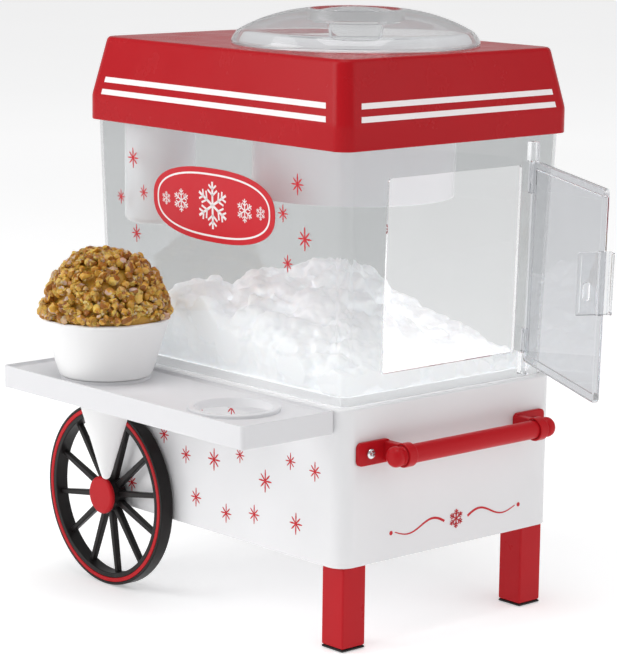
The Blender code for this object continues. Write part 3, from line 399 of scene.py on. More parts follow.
def syrup_ice(name):
    """Coarse ice soaked in syrup. Each crystal has its own depth of colour, and frost shows on some."""
    n = Nodes(name)
    own = n.add("ShaderNodeNewGeometry").outputs["Random Per Island"]
    colour = n.ramp(own, [(0.0, (0.20, 0.065, 0.010)), (0.3, (0.42, 0.19, 0.020)), (0.62, (0.68, 0.40, 0.055)),
                          (0.88, (0.78, 0.54, 0.14)), (0.98, (0.62, 0.47, 0.42))])
    stain = n.noise(120.0, 4.0, 0.6)
    mixed = n.add("ShaderNodeMix", {0: n.range(stain, 0.0, 0.55), 6: colour, 7: (0.30, 0.10, 0.008, 1.0)},
                  data_type="RGBA")
    n.set(Base_Color=mixed.outputs[2])
    n.set(Roughness=n.range(n.noise(700.0, 3.0), 0.22, 0.5))
    n.set(Normal=n.bump(n.noise(900.0, 5.0, 0.7), 0.3, 0.0005))
    n.set(Subsurface_Weight=0.35, Subsurface_Radius=(0.006, 0.003, 0.001), Subsurface_Scale=1.0,
          Coat_Weight=0.25, Coat_Roughness=0.08, Specular_IOR_Level=0.4, IOR=1.4)
    return n.material


RED_COLOUR = (0.445, 0.0072, 0.0125)
RED = moulded("roof_red", shade(RED_COLOUR, 0.93), 0.24, specular=0.16)
RED_SATIN = moulded("satin_red", shade(RED_COLOUR, 1.05), 0.34, specular=0.18, grain=0.05)
WHITE = moulded("gloss_white", (0.80, 0.80, 0.81), 0.2, specular=0.45, mottle=0.012)
# The floor pan has a painted glow that lightens its shaded rim inside the case.
WHITE_PAN_PAINTED_GLOW = moulded("pan_white_painted_glow", (0.9, 0.9, 0.91), 0.4, specular=0.3, mottle=0.012, glow=0.3)
WHITE_SATIN = moulded("satin_white", (0.72, 0.72, 0.735), 0.4, specular=0.35, mottle=0.015, grain=0.04)
# A faint painted glow lightens the chamber, chute and motor cover inside the case and under the roof.
WHITE_INNER_PAINTED_GLOW = moulded("inner_white_painted_glow", (0.84, 0.85, 0.87), 0.2, mottle=0.015, glow=0.05)
STRIPE = moulded("stripe_print", (0.86, 0.80, 0.80), 0.4, mottle=0.01, grain=0.05)
PRINT_RED = moulded("print_red", (0.56, 0.012, 0.022), 0.4, specular=0.3, mottle=0.02, grain=0.05)
BLACK = moulded("black_moulding", (0.012, 0.010, 0.010), 0.36, mottle=0.15, specular=0.24, grain=0.06)
BLACK_MATT = moulded("black_matt", (0.02, 0.019, 0.019), 0.5, mottle=0.15, grain=0.1)
RUBBER = rubber("black_rubber_foot", (0.017, 0.016, 0.016), 0.75)
CLEAR_CASE = clear("clear_case", (0.715, 0.725, 0.727), 0.015, 1.35)
CLEAR_DOOR = clear("clear_door", (0.61, 0.62, 0.64), 0.015, 1.35)
CLEAR_EDGE = clear("clear_latch_and_pins", (0.84, 0.85, 0.86), 0.015, 1.4)
CLEAR_LID = clear("clear_lid", (0.89, 0.895, 0.90), 0.02, 1.42, milky=0.06)
STEEL = metal("bright_steel_finish", (0.74, 0.74, 0.75), 0.2)
STEEL_DULL = metal("dull_steel_finish", (0.56, 0.56, 0.57), 0.36, brushed=0.08)
BRONZE = metal("sintered_bronze", (0.50, 0.32, 0.15), 0.42, mottle=0.12)
SNOW = snow("shaved_ice_snow_painted_shade_and_glow")
AMBER = syrup_ice("syrup_ice")
PAPER = moulded("waxed_paper", (0.83, 0.83, 0.83), 0.42, mottle=0.015, specular=0.35, grain=0.12)


# ------------------------ base and legs
def make_base():
    wall = 2.5
    line = soften([(-8, BASE_TOP - wall), (-wall, BASE_TOP - wall), (-wall, BASE_LOW), (0, BASE_LOW), (0, BASE_TOP),
                   (-8, BASE_TOP)], [0, 1.0, 0.6, 0.7, 2.2, 0], 5)
    rings = [oblong(BASE_HALF[0] + d, BASE_HALF[1] + d, 12 + d, z, 12) for d, z in line]
    piece("base_body", skin(rings), CART, WHITE, "cart", ["base_shell"])
    for side in SIDES:
        low, high = (v * 1000 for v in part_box(f"front_leg_{side}"))
        leg = block((low.x, high.x), (low.y, high.y), (low.z, BASE_LOW - GAP), 1.3, 4)
        inset = 3.5
        plug = block((low.x + inset, high.x - inset), (low.y + inset, high.y - inset), (BASE_LOW - 9, high.z), 0.6, 2)
        in_frame = Matrix.Scale(MM, 4)
        piece(f"leg_{side}", gather(leg, plug), in_frame, RED_SATIN, "cart", [f"front_leg_{side}"])
        low, high = (v * 1000 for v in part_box(f"foot_pad_{side}"))
        foot = block((low.x, high.x), (low.y, high.y), (low.z, high.z), 0.9, 3)
        piece(f"foot_{side}", foot, in_frame, RUBBER, "cart", [f"foot_pad_{side}"])


# ------------------------ wheels
WHEEL_R, WHEEL_FACE, WHEEL_WIDTH = 65.0, 112.0, 10.5
SPOKES = 12


def make_wheel(side):
    """Z runs out along the axle, with zero at the cart's middle."""
    face, back = WHEEL_FACE, WHEEL_FACE - WHEEL_WIDTH
    inner, groove, lip, seat = WHEEL_R - 8.7, WHEEL_R - 5.4, WHEEL_R - 2.0, WHEEL_FACE - 1.3
    tyre = lathe([(lip, face), (WHEEL_R, face), (WHEEL_R, back), (inner, back), (inner, face), (groove, face),
                  (groove, seat), (lip, seat)], [0.3, 0.9, 1.6, 1.4, 0.8, 0.3, 0.1, 0.1], 4, 144)
    parts = [tyre]
    for k in range(SPOKES):
        spoke = bmesh.new()
        for v in bmesh.ops.create_cube(spoke, size=1.0)["verts"]:
            out = v.co.x > 0
            reach, wide, deep = (WHEEL_R - 5.0, 3.4, 4.3) if out else (9.5, 4.4, 5.0)
            v.co = (reach, v.co.y * wide, face - 6.0 + v.co.z * deep)
        bmesh.ops.bevel(spoke, geom=spoke.edges[:], offset=0.9, segments=3, affect="EDGES", profile=0.5)
        parts.append((spoke, turn(2 * math.pi * (k + 0.3) / SPOKES, "Z")))
    parts.append(lathe([(12.6, face + 0.5), (12.6, back), (2.8, back), (2.8, face - 2.2), (7.5, face - 2.2),
                        (7.5, face + 0.5)], [0.5, 1.2, 0.3, 0.3, 0.3, 0.3], 3, 64))
    matrix, body = WHEELS[side], f"wheel_{side}"
    piece(f"spoked_wheel_{side}", gather(*parts), matrix, BLACK, body, [f"wheel_{side}"])
    out, into, low, high = lip - GAP, groove + GAP, seat + GAP, face + 0.2
    ring = lathe([(out, high), (out, low), (into, low), (into, high)], [0.3, 0.1, 0.1, 0.3], 3, 144)
    piece(f"red_ring_{side}", ring, matrix, RED_SATIN, body, [f"wheel_ring_{side}"])
    cap = face + 0.8
    line = soften([(0, cap + 3.0), (11.9, cap + 3.0), (13.4, cap + 1.9), (13.4, cap), (7.0, cap), (7.0, cap - 1.8),
                   (5.8, cap - 1.8), (5.8, cap + 1.0), (0, cap + 1.0)], [0, 0.8, 0.7, 0.3, 0, 0, 0, 0, 0], 4)
    piece(f"flat_hub_cap_{side}", turned(line, 64), matrix, RED_SATIN, body, [f"hub_cap_{side}"])


# ------------------------ handle
HANDLE_Y, HANDLE_Z, HANDLE_R = -149.5, 132.4, 6.3
ARM_X, SCREW_X, PLATE_X = 61.6, 77.0, 73.05


def cross_screw(head, reach):
    """A pan head screw with a cross recess, its head on z = 0."""
    line = soften([(0, -reach), (1.4, -reach), (1.4, 0), (head, 0), (head, 0.9), (head * 0.72, 1.8), (0, 1.95)],
                  [0, 0.2, 0.1, 0.2, 0.5, 0.9, 0], 4)
    recess = [("DIFFERENCE", block(x, y, (0.9, 4), 0)) for x, y in (
        (around(0, head * 0.62), around(0, 0.42)), (around(0, 0.42), around(0, head * 0.62)))]
    return combine(turned(line, 40), *recess)


def make_handle():
    face = -BASE_HALF[1] - GAP
    bore_r = HANDLE_R + GAP
    bar = rod(HANDLE_R, -ARM_X - 3.6, ARM_X + 3.6, 0.8, 64)
    bar.transform(shift(0, HANDLE_Y, HANDLE_Z) @ turn(math.pi / 2, "Y"))
    piece("push_bar", bar, CART, RED_SATIN, "cart", ["handle_bar"])
    for side, sign in SIDES.items():
        x = sign * ARM_X
        plate_x = sign * PLATE_X
        edge = oblong(14.45, 7.8, 3.6, 0, 8, (plate_x, 0))
        plate = skin([[p + Vector((0, 0, z)) for p in edge] for z in (0, 2.1)]
                     + [[Vector((plate_x + (p.x - plate_x) * 0.96, p.y * 0.93, 2.6)) for p in edge]])
        plate.transform(shift(0, face, HANDLE_Z) @ turn(math.pi / 2, "X"))
        arm = block(around(x, 3.0), (HANDLE_Y, face - 1), around(HANDLE_Z, 6.5), 1.1, 3)
        eye = lathe([(8.0, -3.6), (8.0, 3.6), (bore_r, 3.6), (bore_r, -3.6)], [0.9, 0.9, 0.4, 0.4], 4, 64)
        bore = rod(bore_r, -9, 9, 0, 64)
        for shape in (eye, bore):
            shape.transform(shift(x, HANDLE_Y, HANDLE_Z) @ turn(math.pi / 2, "Y"))
        bracket = combine(plate, ("UNION", arm), ("DIFFERENCE", bore), ("UNION", eye))
        piece(f"bar_bracket_{side}", bracket, CART, RED_SATIN, "cart", [f"handle_bracket_{side}"])
        base = ARM_X + 3.9
        knob = turned(soften([(0, base + 10.5), (4.2, base + 10.0), (6.7, base + 7.4), (7.0, base + 4.2),
                              (5.7, base + 1.2), (6.7, base), (0, base)], [0, 1.5, 2.0, 2.0, 0.9, 0.4, 0], 5), 56)
        knob.transform(shift(0, HANDLE_Y, HANDLE_Z) @ turn(sign * math.pi / 2, "Y"))
        piece(f"bar_end_knob_{side}", knob, CART, RED_SATIN, "cart", [f"handle_knob_{side}"])
        screw = cross_screw(3.4, 9)
        on_plate = face - 2.9
        screw.transform(shift(sign * SCREW_X, on_plate, HANDLE_Z) @ turn(math.pi / 2, "X") @ turn(0.5, "Z"))
        piece(f"bracket_screw_{side}", screw, CART, STEEL, "cart", [f"handle_screw_{side}"])


# ------------------------ shelf and cup
SHELF_X, SHELF_Y, SHELF_Z = (-178.3, -99.8), (-123.0, 132.0), (147.2, 162.6)
RING_X, RING_Y, RING_Z = -141.0, (-71.0, 64.0), (156.5, 162.5)
RING_BORE, RING_R = 25.5, 30.5
HOOKS_X, HOOKS_Y = (-96.7, -94.7), (-90, 100)  # behind the base's wall


def make_shelf():
    half = ((SHELF_X[1] - SHELF_X[0]) / 2, (SHELF_Y[1] - SHELF_Y[0]) / 2)
    centre = ((SHELF_X[1] + SHELF_X[0]) / 2, (SHELF_Y[1] + SHELF_Y[0]) / 2)
    low, high = SHELF_Z
    rim = 1.8
    line = soften([(-9, 160.0), (-rim, 160.0), (-rim, high), (0, high), (0, low), (-rim, low), (-rim, 158.0),
                   (-9, 158.0)], [0, 1.4, 0.5, 0.7, 0.7, 0.4, 1.0, 0], 4)
    tray = skin([oblong(half[0] + d, half[1] + d, max(3.2 + d, 0.6), z, 8, centre) for d, z in line])
    low, high = RING_Z
    collar = [(RING_BORE, low), (RING_BORE, high), (RING_R, high), (RING_R, low)]
    steps = [("DIFFERENCE", rod(29.0, 140, 170, 0, 96, (RING_X, y))) for y in RING_Y]
    steps += [("UNION", lathe(collar, [0.5, 1.2, 1.2, 0.5], 5, 96, (RING_X, y))) for y in RING_Y]
    for y in HOOKS_Y:
        steps.append(("UNION", block((SHELF_X[1] - 1, HOOKS_X[1]), around(y, 6), (151, 155), 0.4, 2)))
        steps.append(("UNION", block(HOOKS_X, around(y, 6), (146, 155), 0.4, 2)))
    piece("cup_shelf_tray", combine(tray, *steps), CART, WHITE_SATIN, "cart", ["cup_shelf"])


def make_cup():
    outer = [(43.1, 203.0), (44.2, 202.6), (44.4, 201.6), (43.5, 200.8), (31.8, 163.6), (31.2, 162.9), (24.2, 162.9),
             (3.6, 92.0), (2.4, 89.0), (0, 88.0)]
    inner = [(0, 89.6), (1.4, 90.4), (2.4, 92.8), (22.8, 164.4), (30.4, 164.6), (42.0, 201.0)]
    line = soften(outer + inner, [0.3, 0.5, 0.5, 0.6, 0.5, 0.5, 1.2, 2, 1, 0, 0, 1, 1, 1.2, 0.8, 0.4], 4)
    cup = turned(line[::-1], 120, closed=True)
    piece("snow_cone_paper_cup", cup, CUP, PAPER, "snow_cone", ["snow_cone_cup"])


MOUND = [(0, 248), (12, 247.5), (23, 244), (32.5, 236), (39.5, 224), (44.5, 212), (45.5, 204.5)]
CRYSTALS = 900
CUP_RIM = 204.2  # the lowest that a crystal's underside may be
MOUND_REACH_X = 44.2  # towards the case


def on_mound(share):
    """The (radius, height, slope) at a share of the mound's outline, from its top down to the rim."""
    place = share * (len(MOUND) - 1)
    k = min(int(place), len(MOUND) - 2)
    (r0, z0), (r1, z1) = MOUND[k], MOUND[k + 1]
    return r0 + (r1 - r0) * (place - k), z0 + (z1 - z0) * (place - k), math.atan2(z0 - z1, r1 - r0)


def make_flavoured_ice():
    """A heaped mound of crystals over a core that fills the cup."""
    rng = random.Random(11)
    core = soften([(0, 243), (12, 242.5), (22, 238.5), (30, 230.5), (36, 219), (40.5, 208), (41.2, 201.6),
                   (29.8, 165.2), (22.4, 165.0), (2.2, 94.0), (0, 91.4)], [0, 8, 8, 6, 4, 4, 1, 1, 1, 1, 0], 4)
    parts = [turned(core, 64)]
    count = 0
    while count < CRYSTALS:
        share = rng.random()
        r, z, slope = on_mound(share)
        if rng.random() > (r + 4) / 47:  # as many for each patch of surface, near the top as lower down
            continue
        count += 1
        heading = rng.uniform(0, 2 * math.pi)
        lump = 3.4 * noise.noise(Vector((r * math.cos(heading), r * math.sin(heading), z)) / 12.0)
        size = rng.choice((1.8, 2.3, 2.8, 3.3, 3.9)) * rng.uniform(0.85, 1.1)
        out = lump - rng.uniform(0.2, 2.4) - size * 0.35
        r, z = max(r + out * math.sin(slope), 0), z + out * math.cos(slope)
        place = Vector((r * math.cos(heading), r * math.sin(heading), max(z, CUP_RIM + size * 0.5)))
        place.x = min(place.x, MOUND_REACH_X - size)
        crystal = bmesh.new()
        bmesh.ops.create_icosphere(crystal, subdivisions=2, radius=size)
        seed = Vector((rng.uniform(0, 90), rng.uniform(0, 90), rng.uniform(0, 90)))
        for v in crystal.verts:
            v.co *= 1 + 0.4 * noise.noise(v.co / (size * 0.8) + seed) + rng.uniform(-0.04, 0.04)
        squash = Matrix.Diagonal((rng.uniform(0.8, 1.25), rng.uniform(0.7, 1.1), rng.uniform(0.65, 1.0), 1))
        spin = turn(rng.uniform(0, 6.28), "X") @ turn(rng.uniform(0, 6.28), "Z")
        parts.append((crystal, Matrix.Translation(place) @ spin @ squash))
    piece("flavoured_ice_mound", gather(*parts), CUP, AMBER, "snow_cone", ["flavoured_ice"],
          sharp=28)


# ------------------------ clear case and door
KNUCKLE_R, LATCH_X, LATCH_Z = 3.4, -128.5, (70.0, 110.5)


def case_half(z, inset=0.0):
    share = (z - BASE_TOP) / (CASE_TOP - BASE_TOP)
    return tuple(half + flare * share - inset for half, flare in zip(CASE_HALF, CASE_FLARE))


def make_case():
    low, high = BASE_TOP + GAP, CASE_TOP
    line = soften([(0, low), (0, high), (-2, high), (-2, low)], 0.5, 2, closed=True)
    rings = []
    for d, z in line:
        half_x, half_y = case_half(z)
        rings.append(oblong(half_x + d, half_y + d, 8 + d, z, 12))
    doorway = block((-60.5, 62.5), (-140, -110), (181.5, 310.0), 2.2, 3)
    case = combine(skin(rings, closed=True), ("DIFFERENCE", doorway))
    piece("clear_cabinet", case, CART, CLEAR_CASE, "cart", ["cabinet_case"])
    wall = (-CASE_HALF[1] - HINGE_FOOT[1]) * math.cos(FRONT_LEAN) - 0.5
    for side, lug, pin in (("lower", (3.0, 18.4), (6, 32)), ("upper", (149.0, 162.6), (134, 160))):
        body = combine(block(around(0, KNUCKLE_R), (0, wall), lug, 0.5, 2), ("UNION", rod(KNUCKLE_R, *lug, 0.5, 40)),
                       ("UNION", rod(1.5, *pin, 0.3, 32)))
        piece(f"hinge_{side}", body, HINGE, CLEAR_EDGE, "cart", [f"hinge_bracket_{side}"])


def make_door():
    left, right, low, high = -132.5, -5.2, 13.5, 150.8
    middle_x, middle_z = (left + right) / 2, (low + high) / 2
    half = ((right - left) / 2, (high - low) / 2)
    # Drawn lying down with the outside up, then stood on its edge.
    line = soften([(-5.6, 0), (-5.0, 1.6), (0, 1.6), (0, -2.2), (-8, -2.2)], [0, 0.5, 0.6, 0.5, 0], 3)
    shape = skin([oblong(half[0] + d, half[1] + d, max(3.0 + d, 0.5), z, 6) for d, z in [(-8, 0), *line]])
    shape.transform(shift(middle_x, 1.3, middle_z) @ turn(math.pi / 2, "X"))
    steps = []
    for z in ((19.0, 35.0), (128.0, 148.2)):
        steps += [("UNION", block((-8, 0), (0, 2.8), z, 0.3, 2)), ("UNION", rod(KNUCKLE_R, *z, 0.4, 40))]
    slot = (LATCH_Z[0] - GAP, LATCH_Z[1] + GAP)
    steps += [("DIFFERENCE", rod(1.8, 0, 170, 0, 32)),
              ("DIFFERENCE", block(around(LATCH_X, 1.3), (-9, 20), slot, 0))]
    piece("clear_door", combine(shape, *steps), DOOR, CLEAR_DOOR, "door", ["door_panel"])

    low, high = LATCH_Z
    plate = block(around(0, 1.0), (-6.5, 17.0), (low, high), 0.6, 3)
    steps = [("DIFFERENCE", block(around(0, 5), (8.6, 12.8), around((low + high) / 2 - 5, 6), 1.8, 4)),
             ("UNION", block(around(0, 3.4), (-6.5, -4.6), (low, high), 0.8, 4))]
    bead = [(0, low + 1.2), (1.0, low + 1.0), (1.5, low + 2), (1.5, high - 2), (1.0, high - 1.0), (0, high - 1.2)]
    for y in (-5.6, 16.0):
        steps.append(("UNION", turned(bead, 20, centre=(0, y))))
    latch = combine(plate, *steps)
    latch.transform(shift(LATCH_X))
    piece("clear_latch", latch, DOOR, CLEAR_EDGE, "door", ["door_latch"])


# ------------------------ roof
STRIPES_Z, STRIPE_WIDE = (347.6, 356.0), 3.7


def roof_half(z):
    share = min(max((z - ROOF_SHOULDER) / (ROOF_TOP - ROOF_SHOULDER), 0), 1)
    return tuple(a + (b - a) * share for a, b in zip(ROOF_HALF, ROOF_TOP_HALF))


def make_roof():
    def at(z, d=0.0):
        half = roof_half(z)
        return half[0] + d, half[1] + d, z
    wall, mouth = 2.5, 9.0
    # (half x, half y, z) corners, from inside the top down to the lower edge and up outside
    line = soften([at(ROOF_TOP - wall, -mouth), at(ROOF_TOP - wall, -wall), at(ROOF_SHOULDER, -wall),
                   at(ROOF_LOW, -wall), at(ROOF_LOW), at(ROOF_SHOULDER), at(ROOF_TOP), at(ROOF_TOP, -mouth)],
                  [0, 2.0, 3.0, 0.5, 0.7, 2.6, 3.2, 0], 5)
    rings = []
    for half_x, half_y, z in line:
        inset = roof_half(z)[0] - half_x
        rings.append(oblong(half_x, half_y, max(11.0 - inset, 2.0), z, 14))
    shell = skin(rings)
    hopper_y = (HOPPER.translation.y - CART.translation.y) * 1000
    switch_hole = block(around(0, 6.2), around(0, 12), around(0, 10.2), 0)
    switch_hole.transform(CART.inverted() @ SWITCH)
    gland_hole = rod(5.3, -15, 15, 0, 48)
    gland_hole.transform(CART.inverted() @ GLAND)
    hopper_hole = rod(49.0, ROOF_TOP - 12, ROOF_TOP + 12, 0, 120, (0, hopper_y))
    shell = combine(shell, *(("DIFFERENCE", hole) for hole in (hopper_hole, switch_hole, gland_hole)))
    piece("red_roof", shell, CART, RED, "cart", ["roof_cover"], sharp=50)

    stripes = []
    for low in STRIPES_Z:
        high = low + STRIPE_WIDE
        for facing in range(4):
            across = 0 if facing % 2 else 1  # which half size runs along the face
            end = 17.0 if across else 15.0
            strip = skin([[(s * (roof_half(z)[across] - end), -(roof_half(z)[1 - across] + proud), z)
                           for proud, z in ((0.12, low), (0.12, high), (-0.3, high), (-0.3, low))] for s in (-1, 1)])
            stripes.append((strip, turn(math.pi / 2 * (facing + 1), "Z")))
    piece("roof_stripes", gather(*stripes), CART, STRIPE, "cart", flat=True)


# ------------------------ hopper, lid and plunger
def make_hopper():
    top, low = 387.3, 353.7
    chamber = lathe([(79, top + 2), (79, top), (48, top), (48, low), (46, low), (46, top + 2)],
                    [0.7, 0.4, 0.5, 0.4, 0.5, 1.0], 4, 120)
    piece("ice_chamber_wall", chamber, HOPPER, WHITE_INNER_PAINTED_GLOW, "cart", ["ice_chamber"])
    top = CASE_TOP
    shroud = lathe([(74, top), (74, top - 2.2), (69, top - 2.2), (69, 285), (66.8, 285), (66.8, top)],
                   [0.3, 0.4, 1.0, 0.9, 0.9, 0.3], 4, 144)
    piece("round_chute", shroud, HOPPER, WHITE_INNER_PAINTED_GLOW, "cart", ["chute_shroud"])
    cover = soften([(0, 260), (21.2, 260), (23, 261.8), (23, top), (27, top), (27, top - 2), (25, top - 2), (25, 261),
                    (22, 258), (0, 258)], [0, 1.5, 1.5, 0, 0.4, 0.4, 0.6, 2.5, 2.5, 0], 4)
    piece("round_motor_cover", turned(cover, 96), MOTOR, WHITE_INNER_PAINTED_GLOW, "cart", ["motor_cover"])


def make_lid():
    lid_r, hole_r, wall, sleeve_low = 84.6, 31.0, 2.0, 404.2
    crown_top, fall = 412.6, 19.0

    def crown(start, end, drop=0.0):
        radii = [start + (end - start) * k / 14 for k in range(15)]
        return [(r, crown_top - drop - fall * (r / lid_r) ** 2.8) for r in radii]
    rim = [(83.6, 391.6), (lid_r, 389.4), (84.4, 387.4), (82.4, 387.4)]
    sleeve = [(hole_r + wall, sleeve_low), (hole_r, sleeve_low)]
    line = crown(hole_r, 80.5) + rim + crown(hole_r + wall, 79.0, wall)[::-1] + sleeve
    radii = [0.6] + [0] * 14 + [1.5, 1.2, 0.4, 0.5] + [0] * 14 + [0.6, 0.4, 0.4]
    piece("clear_dome_lid", lathe(line, radii, 4, 144), HOPPER, CLEAR_LID, "lid", ["dome_lid"])
    knob = soften([(0, 412.2), (14.0, 411.8), (24.0, 410.5), (29.8, 407.2), (29.8, 402.3), (17.2, 402.3), (17.0, 399.2),
                   (15.0, 399.2), (15.0, 404.0), (18.0, 407.6), (12.0, 409.4), (0, 410.2)],
                  [0, 3, 3, 2, 0.6, 0.3, 0.3, 0.3, 1, 1.5, 2, 0], 5)
    piece("clear_plunger_knob", turned(knob, 96), HOPPER, CLEAR_LID, "plunger", ["plunger_knob"])
    push = lathe([(19.6, 402.0), (15.6, 384.0), (40.5, 384.0), (40.5, 381.0), (13.6, 381.0), (17.7, 402.0)],
                 [0.4, 1.0, 0.6, 0.6, 0.6, 0.4], 4, 96)
    piece("clear_ice_pusher", push, HOPPER, CLEAR_LID, "plunger", ["ice_pusher"])


# ------------------------ switch and gland
def make_rear_fittings():
    flange = block(around(0, 6.9), (0.3, 1.6), around(0, 11), 0.5, 3)
    tub = block(around(0, 5.9), (-11, 1), around(0, 9.9), 0.5, 2)
    pocket = block(around(0, 4.9), (-8, 5), around(0, 8.8), 0.3, 2)
    surround = combine(flange, ("UNION", tub), ("DIFFERENCE", pocket))
    piece("switch_frame_moulding", surround, SWITCH, BLACK, "cart", ["switch_body"])
    rocker = block(around(0, 4.5), (-3, 6.2), around(0, 7.0), 0.7, 3)
    dish = rod(9.0, -6, 6, 0, 64)
    dish.transform(shift(0, 13.9, 0) @ turn(math.pi / 2, "Y"))
    rocker = combine(rocker, ("DIFFERENCE", dish))
    rocker.transform(shift(0, -2.5, 0) @ turn(math.radians(-7), "X"))
    piece("switch_rocker_cap", rocker, SWITCH, RED_SATIN, "rocker", ["switch_rocker"])
    line = [(4.8, 18.0)]
    for k in range(6):  # ribs of the strain relief
        z = 16.4 - 2.2 * k
        r = 4.9 + 0.22 * k
        line += [(r + 0.25, z), (r - 0.35, z - 0.5), (r - 0.3, z - 1.3), (r + 0.35, z - 1.7)]
    line += [(6.2, 3.0), (9, 3.0), (9, 0.3), (5.0, 0.3), (5.0, -6), (3.3, -6), (3.3, 18)]
    gland = lathe(line, 0.35, 2, 48)
    piece("ribbed_cord_gland", gland, GLAND, BLACK_MATT, "cart", ["cord_gland"])


# ------------------------ printed decoration
def starburst(size):
    """Eight thin rays, the upright pair longest, as a thin raised print in the XY plane."""
    rays = []
    for k in range(8):
        reach, wide = size * (0.78, 0.62, 0.64, 0.62)[k % 4], size * 0.062
        edge = [(0.02, wide * 0.6), (reach * 0.6, wide), (reach, wide * 0.5)]
        outline = [(out, -side) for out, side in edge] + edge[::-1]
        ray = skin([[(*p, z) for p in outline] for z in (-0.2, 0.12 + 0.004 * k)])
        rays.append((ray, turn(math.pi / 4 * k + math.pi / 2, "Z")))
    return gather(*rays)


def on_left(y, z, wall_x, lean=0.0):
    """A matrix that lays a print on the left wall, its Y up and its Z out."""
    return shift(-wall_x, y, z) @ turn(-math.pi / 2, "Z") @ turn(math.pi / 2 + lean, "X")


# Each starburst's y, z and size.
BASE_STARS = [(28, 106, 8), (-2, 108, 10), (-29, 116, 7), (-55, 103, 10), (-80, 121, 7.5), (-104, 118.5, 8.5),
              (17, 78, 8.5), (-15, 73, 8.5), (-44, 78, 8.5), (-86, 80, 9.5), (52, 116, 8), (88, 75, 8.5), (104, 107, 8),
              (13.6, 142.8, 7), (-19.8, 147.0, 8)]
CASE_STARS = [(87, 305.5, 9), (101.5, 277, 6.5), (76, 282.5, 7), (85, 253, 8), (-83.5, 304.5, 9), (-69, 284, 7.5),
              (-90, 269.5, 10), (-73, 251.5, 7.5)]
PLAQUE_AT = (1.8, 281.5)


def make_prints():
    """The prints are on the left wall, the base's front and nowhere else."""
    base = [(starburst(size), on_left(y, z, BASE_HALF[0])) for y, z, size in BASE_STARS]
    case = [(starburst(size), on_left(y, z, case_half(z)[0], SIDE_LEAN)) for y, z, size in CASE_STARS]
    piece("base_starbursts", gather(*base), CART, PRINT_RED, "cart", flat=True)
    piece("case_starbursts", gather(*case), CART, PRINT_RED, "cart", flat=True)
    y, z = PLAQUE_AT
    where = on_left(y, z, case_half(z)[0], SIDE_LEAN)
    piece("side_plaque", plaque(63.0, 25.0, 0.3, -0.2), CART @ where, PRINT_RED, "cart")
    piece("plaque_marks", plaque_mark(), CART @ where, STRIPE, "cart", flat=True)
    flourish = front_flourish()
    flourish.transform(shift(6, -BASE_HALF[1], 75) @ turn(math.pi / 2, "X"))
    piece("front_flourish", flourish, CART, PRINT_RED, "cart", flat=True)


def oval(half_x, half_y, z):
    """A ring between an ellipse and a rounded rectangle."""
    ring = []
    for k in range(120):
        c, s = math.cos(2 * math.pi * k / 120), math.sin(2 * math.pi * k / 120)
        ring.append(Vector((half_x * math.copysign(abs(c) ** 0.8, c), half_y * math.copysign(abs(s) ** 0.8, s), z)))
    return ring


def plaque(half_x, half_y, high, low):
    """A plain oval plate."""
    levels = ((1.0, low), (1.0, high - 0.1), (0.995, high))
    return skin([oval(half_x * scale, half_y * scale, z) for scale, z in levels])


def bar(start, end, wide, low=-0.1, high=0.45):
    start, end = Vector(start), Vector(end)
    along = (end - start).normalized()
    side = Vector((-along.y, along.x)) * wide / 2
    outline = [start - side, end - side, end + side, start + side]
    return skin([[Vector((*p, z)) for p in outline] for z in (low, high)])


def band(half_x, half_y, wide, low=-0.1, high=0.42):
    """A thin oval line."""
    corners = ((0, low), (0, high), (wide, high), (wide, low))
    return skin([oval(half_x - inset, half_y - inset, z) for inset, z in corners], closed=True)


def snowflake(size):
    parts = []
    for k in range(6):
        arm = [bar((0, 0), (0, size), size * 0.11)]
        for reach, twig in ((0.42, 0.30), (0.68, 0.24)):
            for s in (-1, 1):
                arm.append(bar((0, size * reach), (s * size * twig, size * (reach + twig * 0.75)), size * 0.085))
        parts.append((gather(*arm), turn(math.pi / 3 * k, "Z")))
    return gather(*parts)


def plaque_mark():
    parts = [band(58.5, 21.5, 1.3), snowflake(16.0)]
    for s in (-1, 1):
        parts.append((snowflake(8.0), shift(s * 33.0)))
        parts.append((snowflake(4.6), shift(s * 49.0)))
    return gather(*parts)


def front_flourish():
    """A generic ornament: a small snowflake between two tapering scroll lines."""
    parts = [snowflake(6.5)]
    for s in (-1, 1):
        shares = [k / 40 for k in range(41)]
        path = [Vector((s * (11 + 46 * t), 4.2 * math.sin(t * math.pi * 2.0) * (1 - 0.35 * t))) for t in shares]
        rings = []
        for k, (p, t) in enumerate(zip(path, shares)):
            along = path[min(k + 1, 40)] - path[max(k - 1, 0)]
            side = Vector((-along.y, along.x)).normalized() * (1.5 * (1 - 0.72 * t) + 0.25) / 2
            rings.append([(*(p + side * e), z) for e, z in ((1, -0.2), (1, 0.15), (-1, 0.15), (-1, -0.2))])
        parts += [skin(rings), (rod(1.5, -0.2, 0.15, 0, 24), shift(s * 60.5, 0))]
    return gather(*parts)


# ------------------------ shaved ice
# The ridge's heights over the pan, from the rear left corner to the front right one.
RIDGE = [(-150, 34), (-125, 40), (-104, 45), (-90, 54), (-76, 56), (-62, 49), (-48, 61), (-32, 64), (-14, 61), (0, 70),
         (14, 71), (24, 64), (34, 61), (46, 48), (60, 40), (67, 32), (84, 27), (102, 21), (118, 12), (150, 8)]
ALONG, ACROSS = Vector((0.742, -0.670)), Vector((0.670, 0.742))
PAN_RIM, PAN_HALF = 169.3, (90.3, 119.8)
LUMPS = 760


def ridge(s):
    if s <= RIDGE[0][0]:
        return RIDGE[0][1]
    for (s0, h0), (s1, h1) in zip(RIDGE, RIDGE[1:]):
        if s <= s1:
            return h0 + (h1 - h0) * (s - s0) / (s1 - s0)
    return RIDGE[-1][1]


def heap_height(x, y):
    place = Vector((x, y))
    fall = math.exp(-(place.dot(ACROSS) / 105.0) ** 2)
    return max(3.0, ridge(place.dot(ALONG)) * (0.16 + 0.84 * fall))


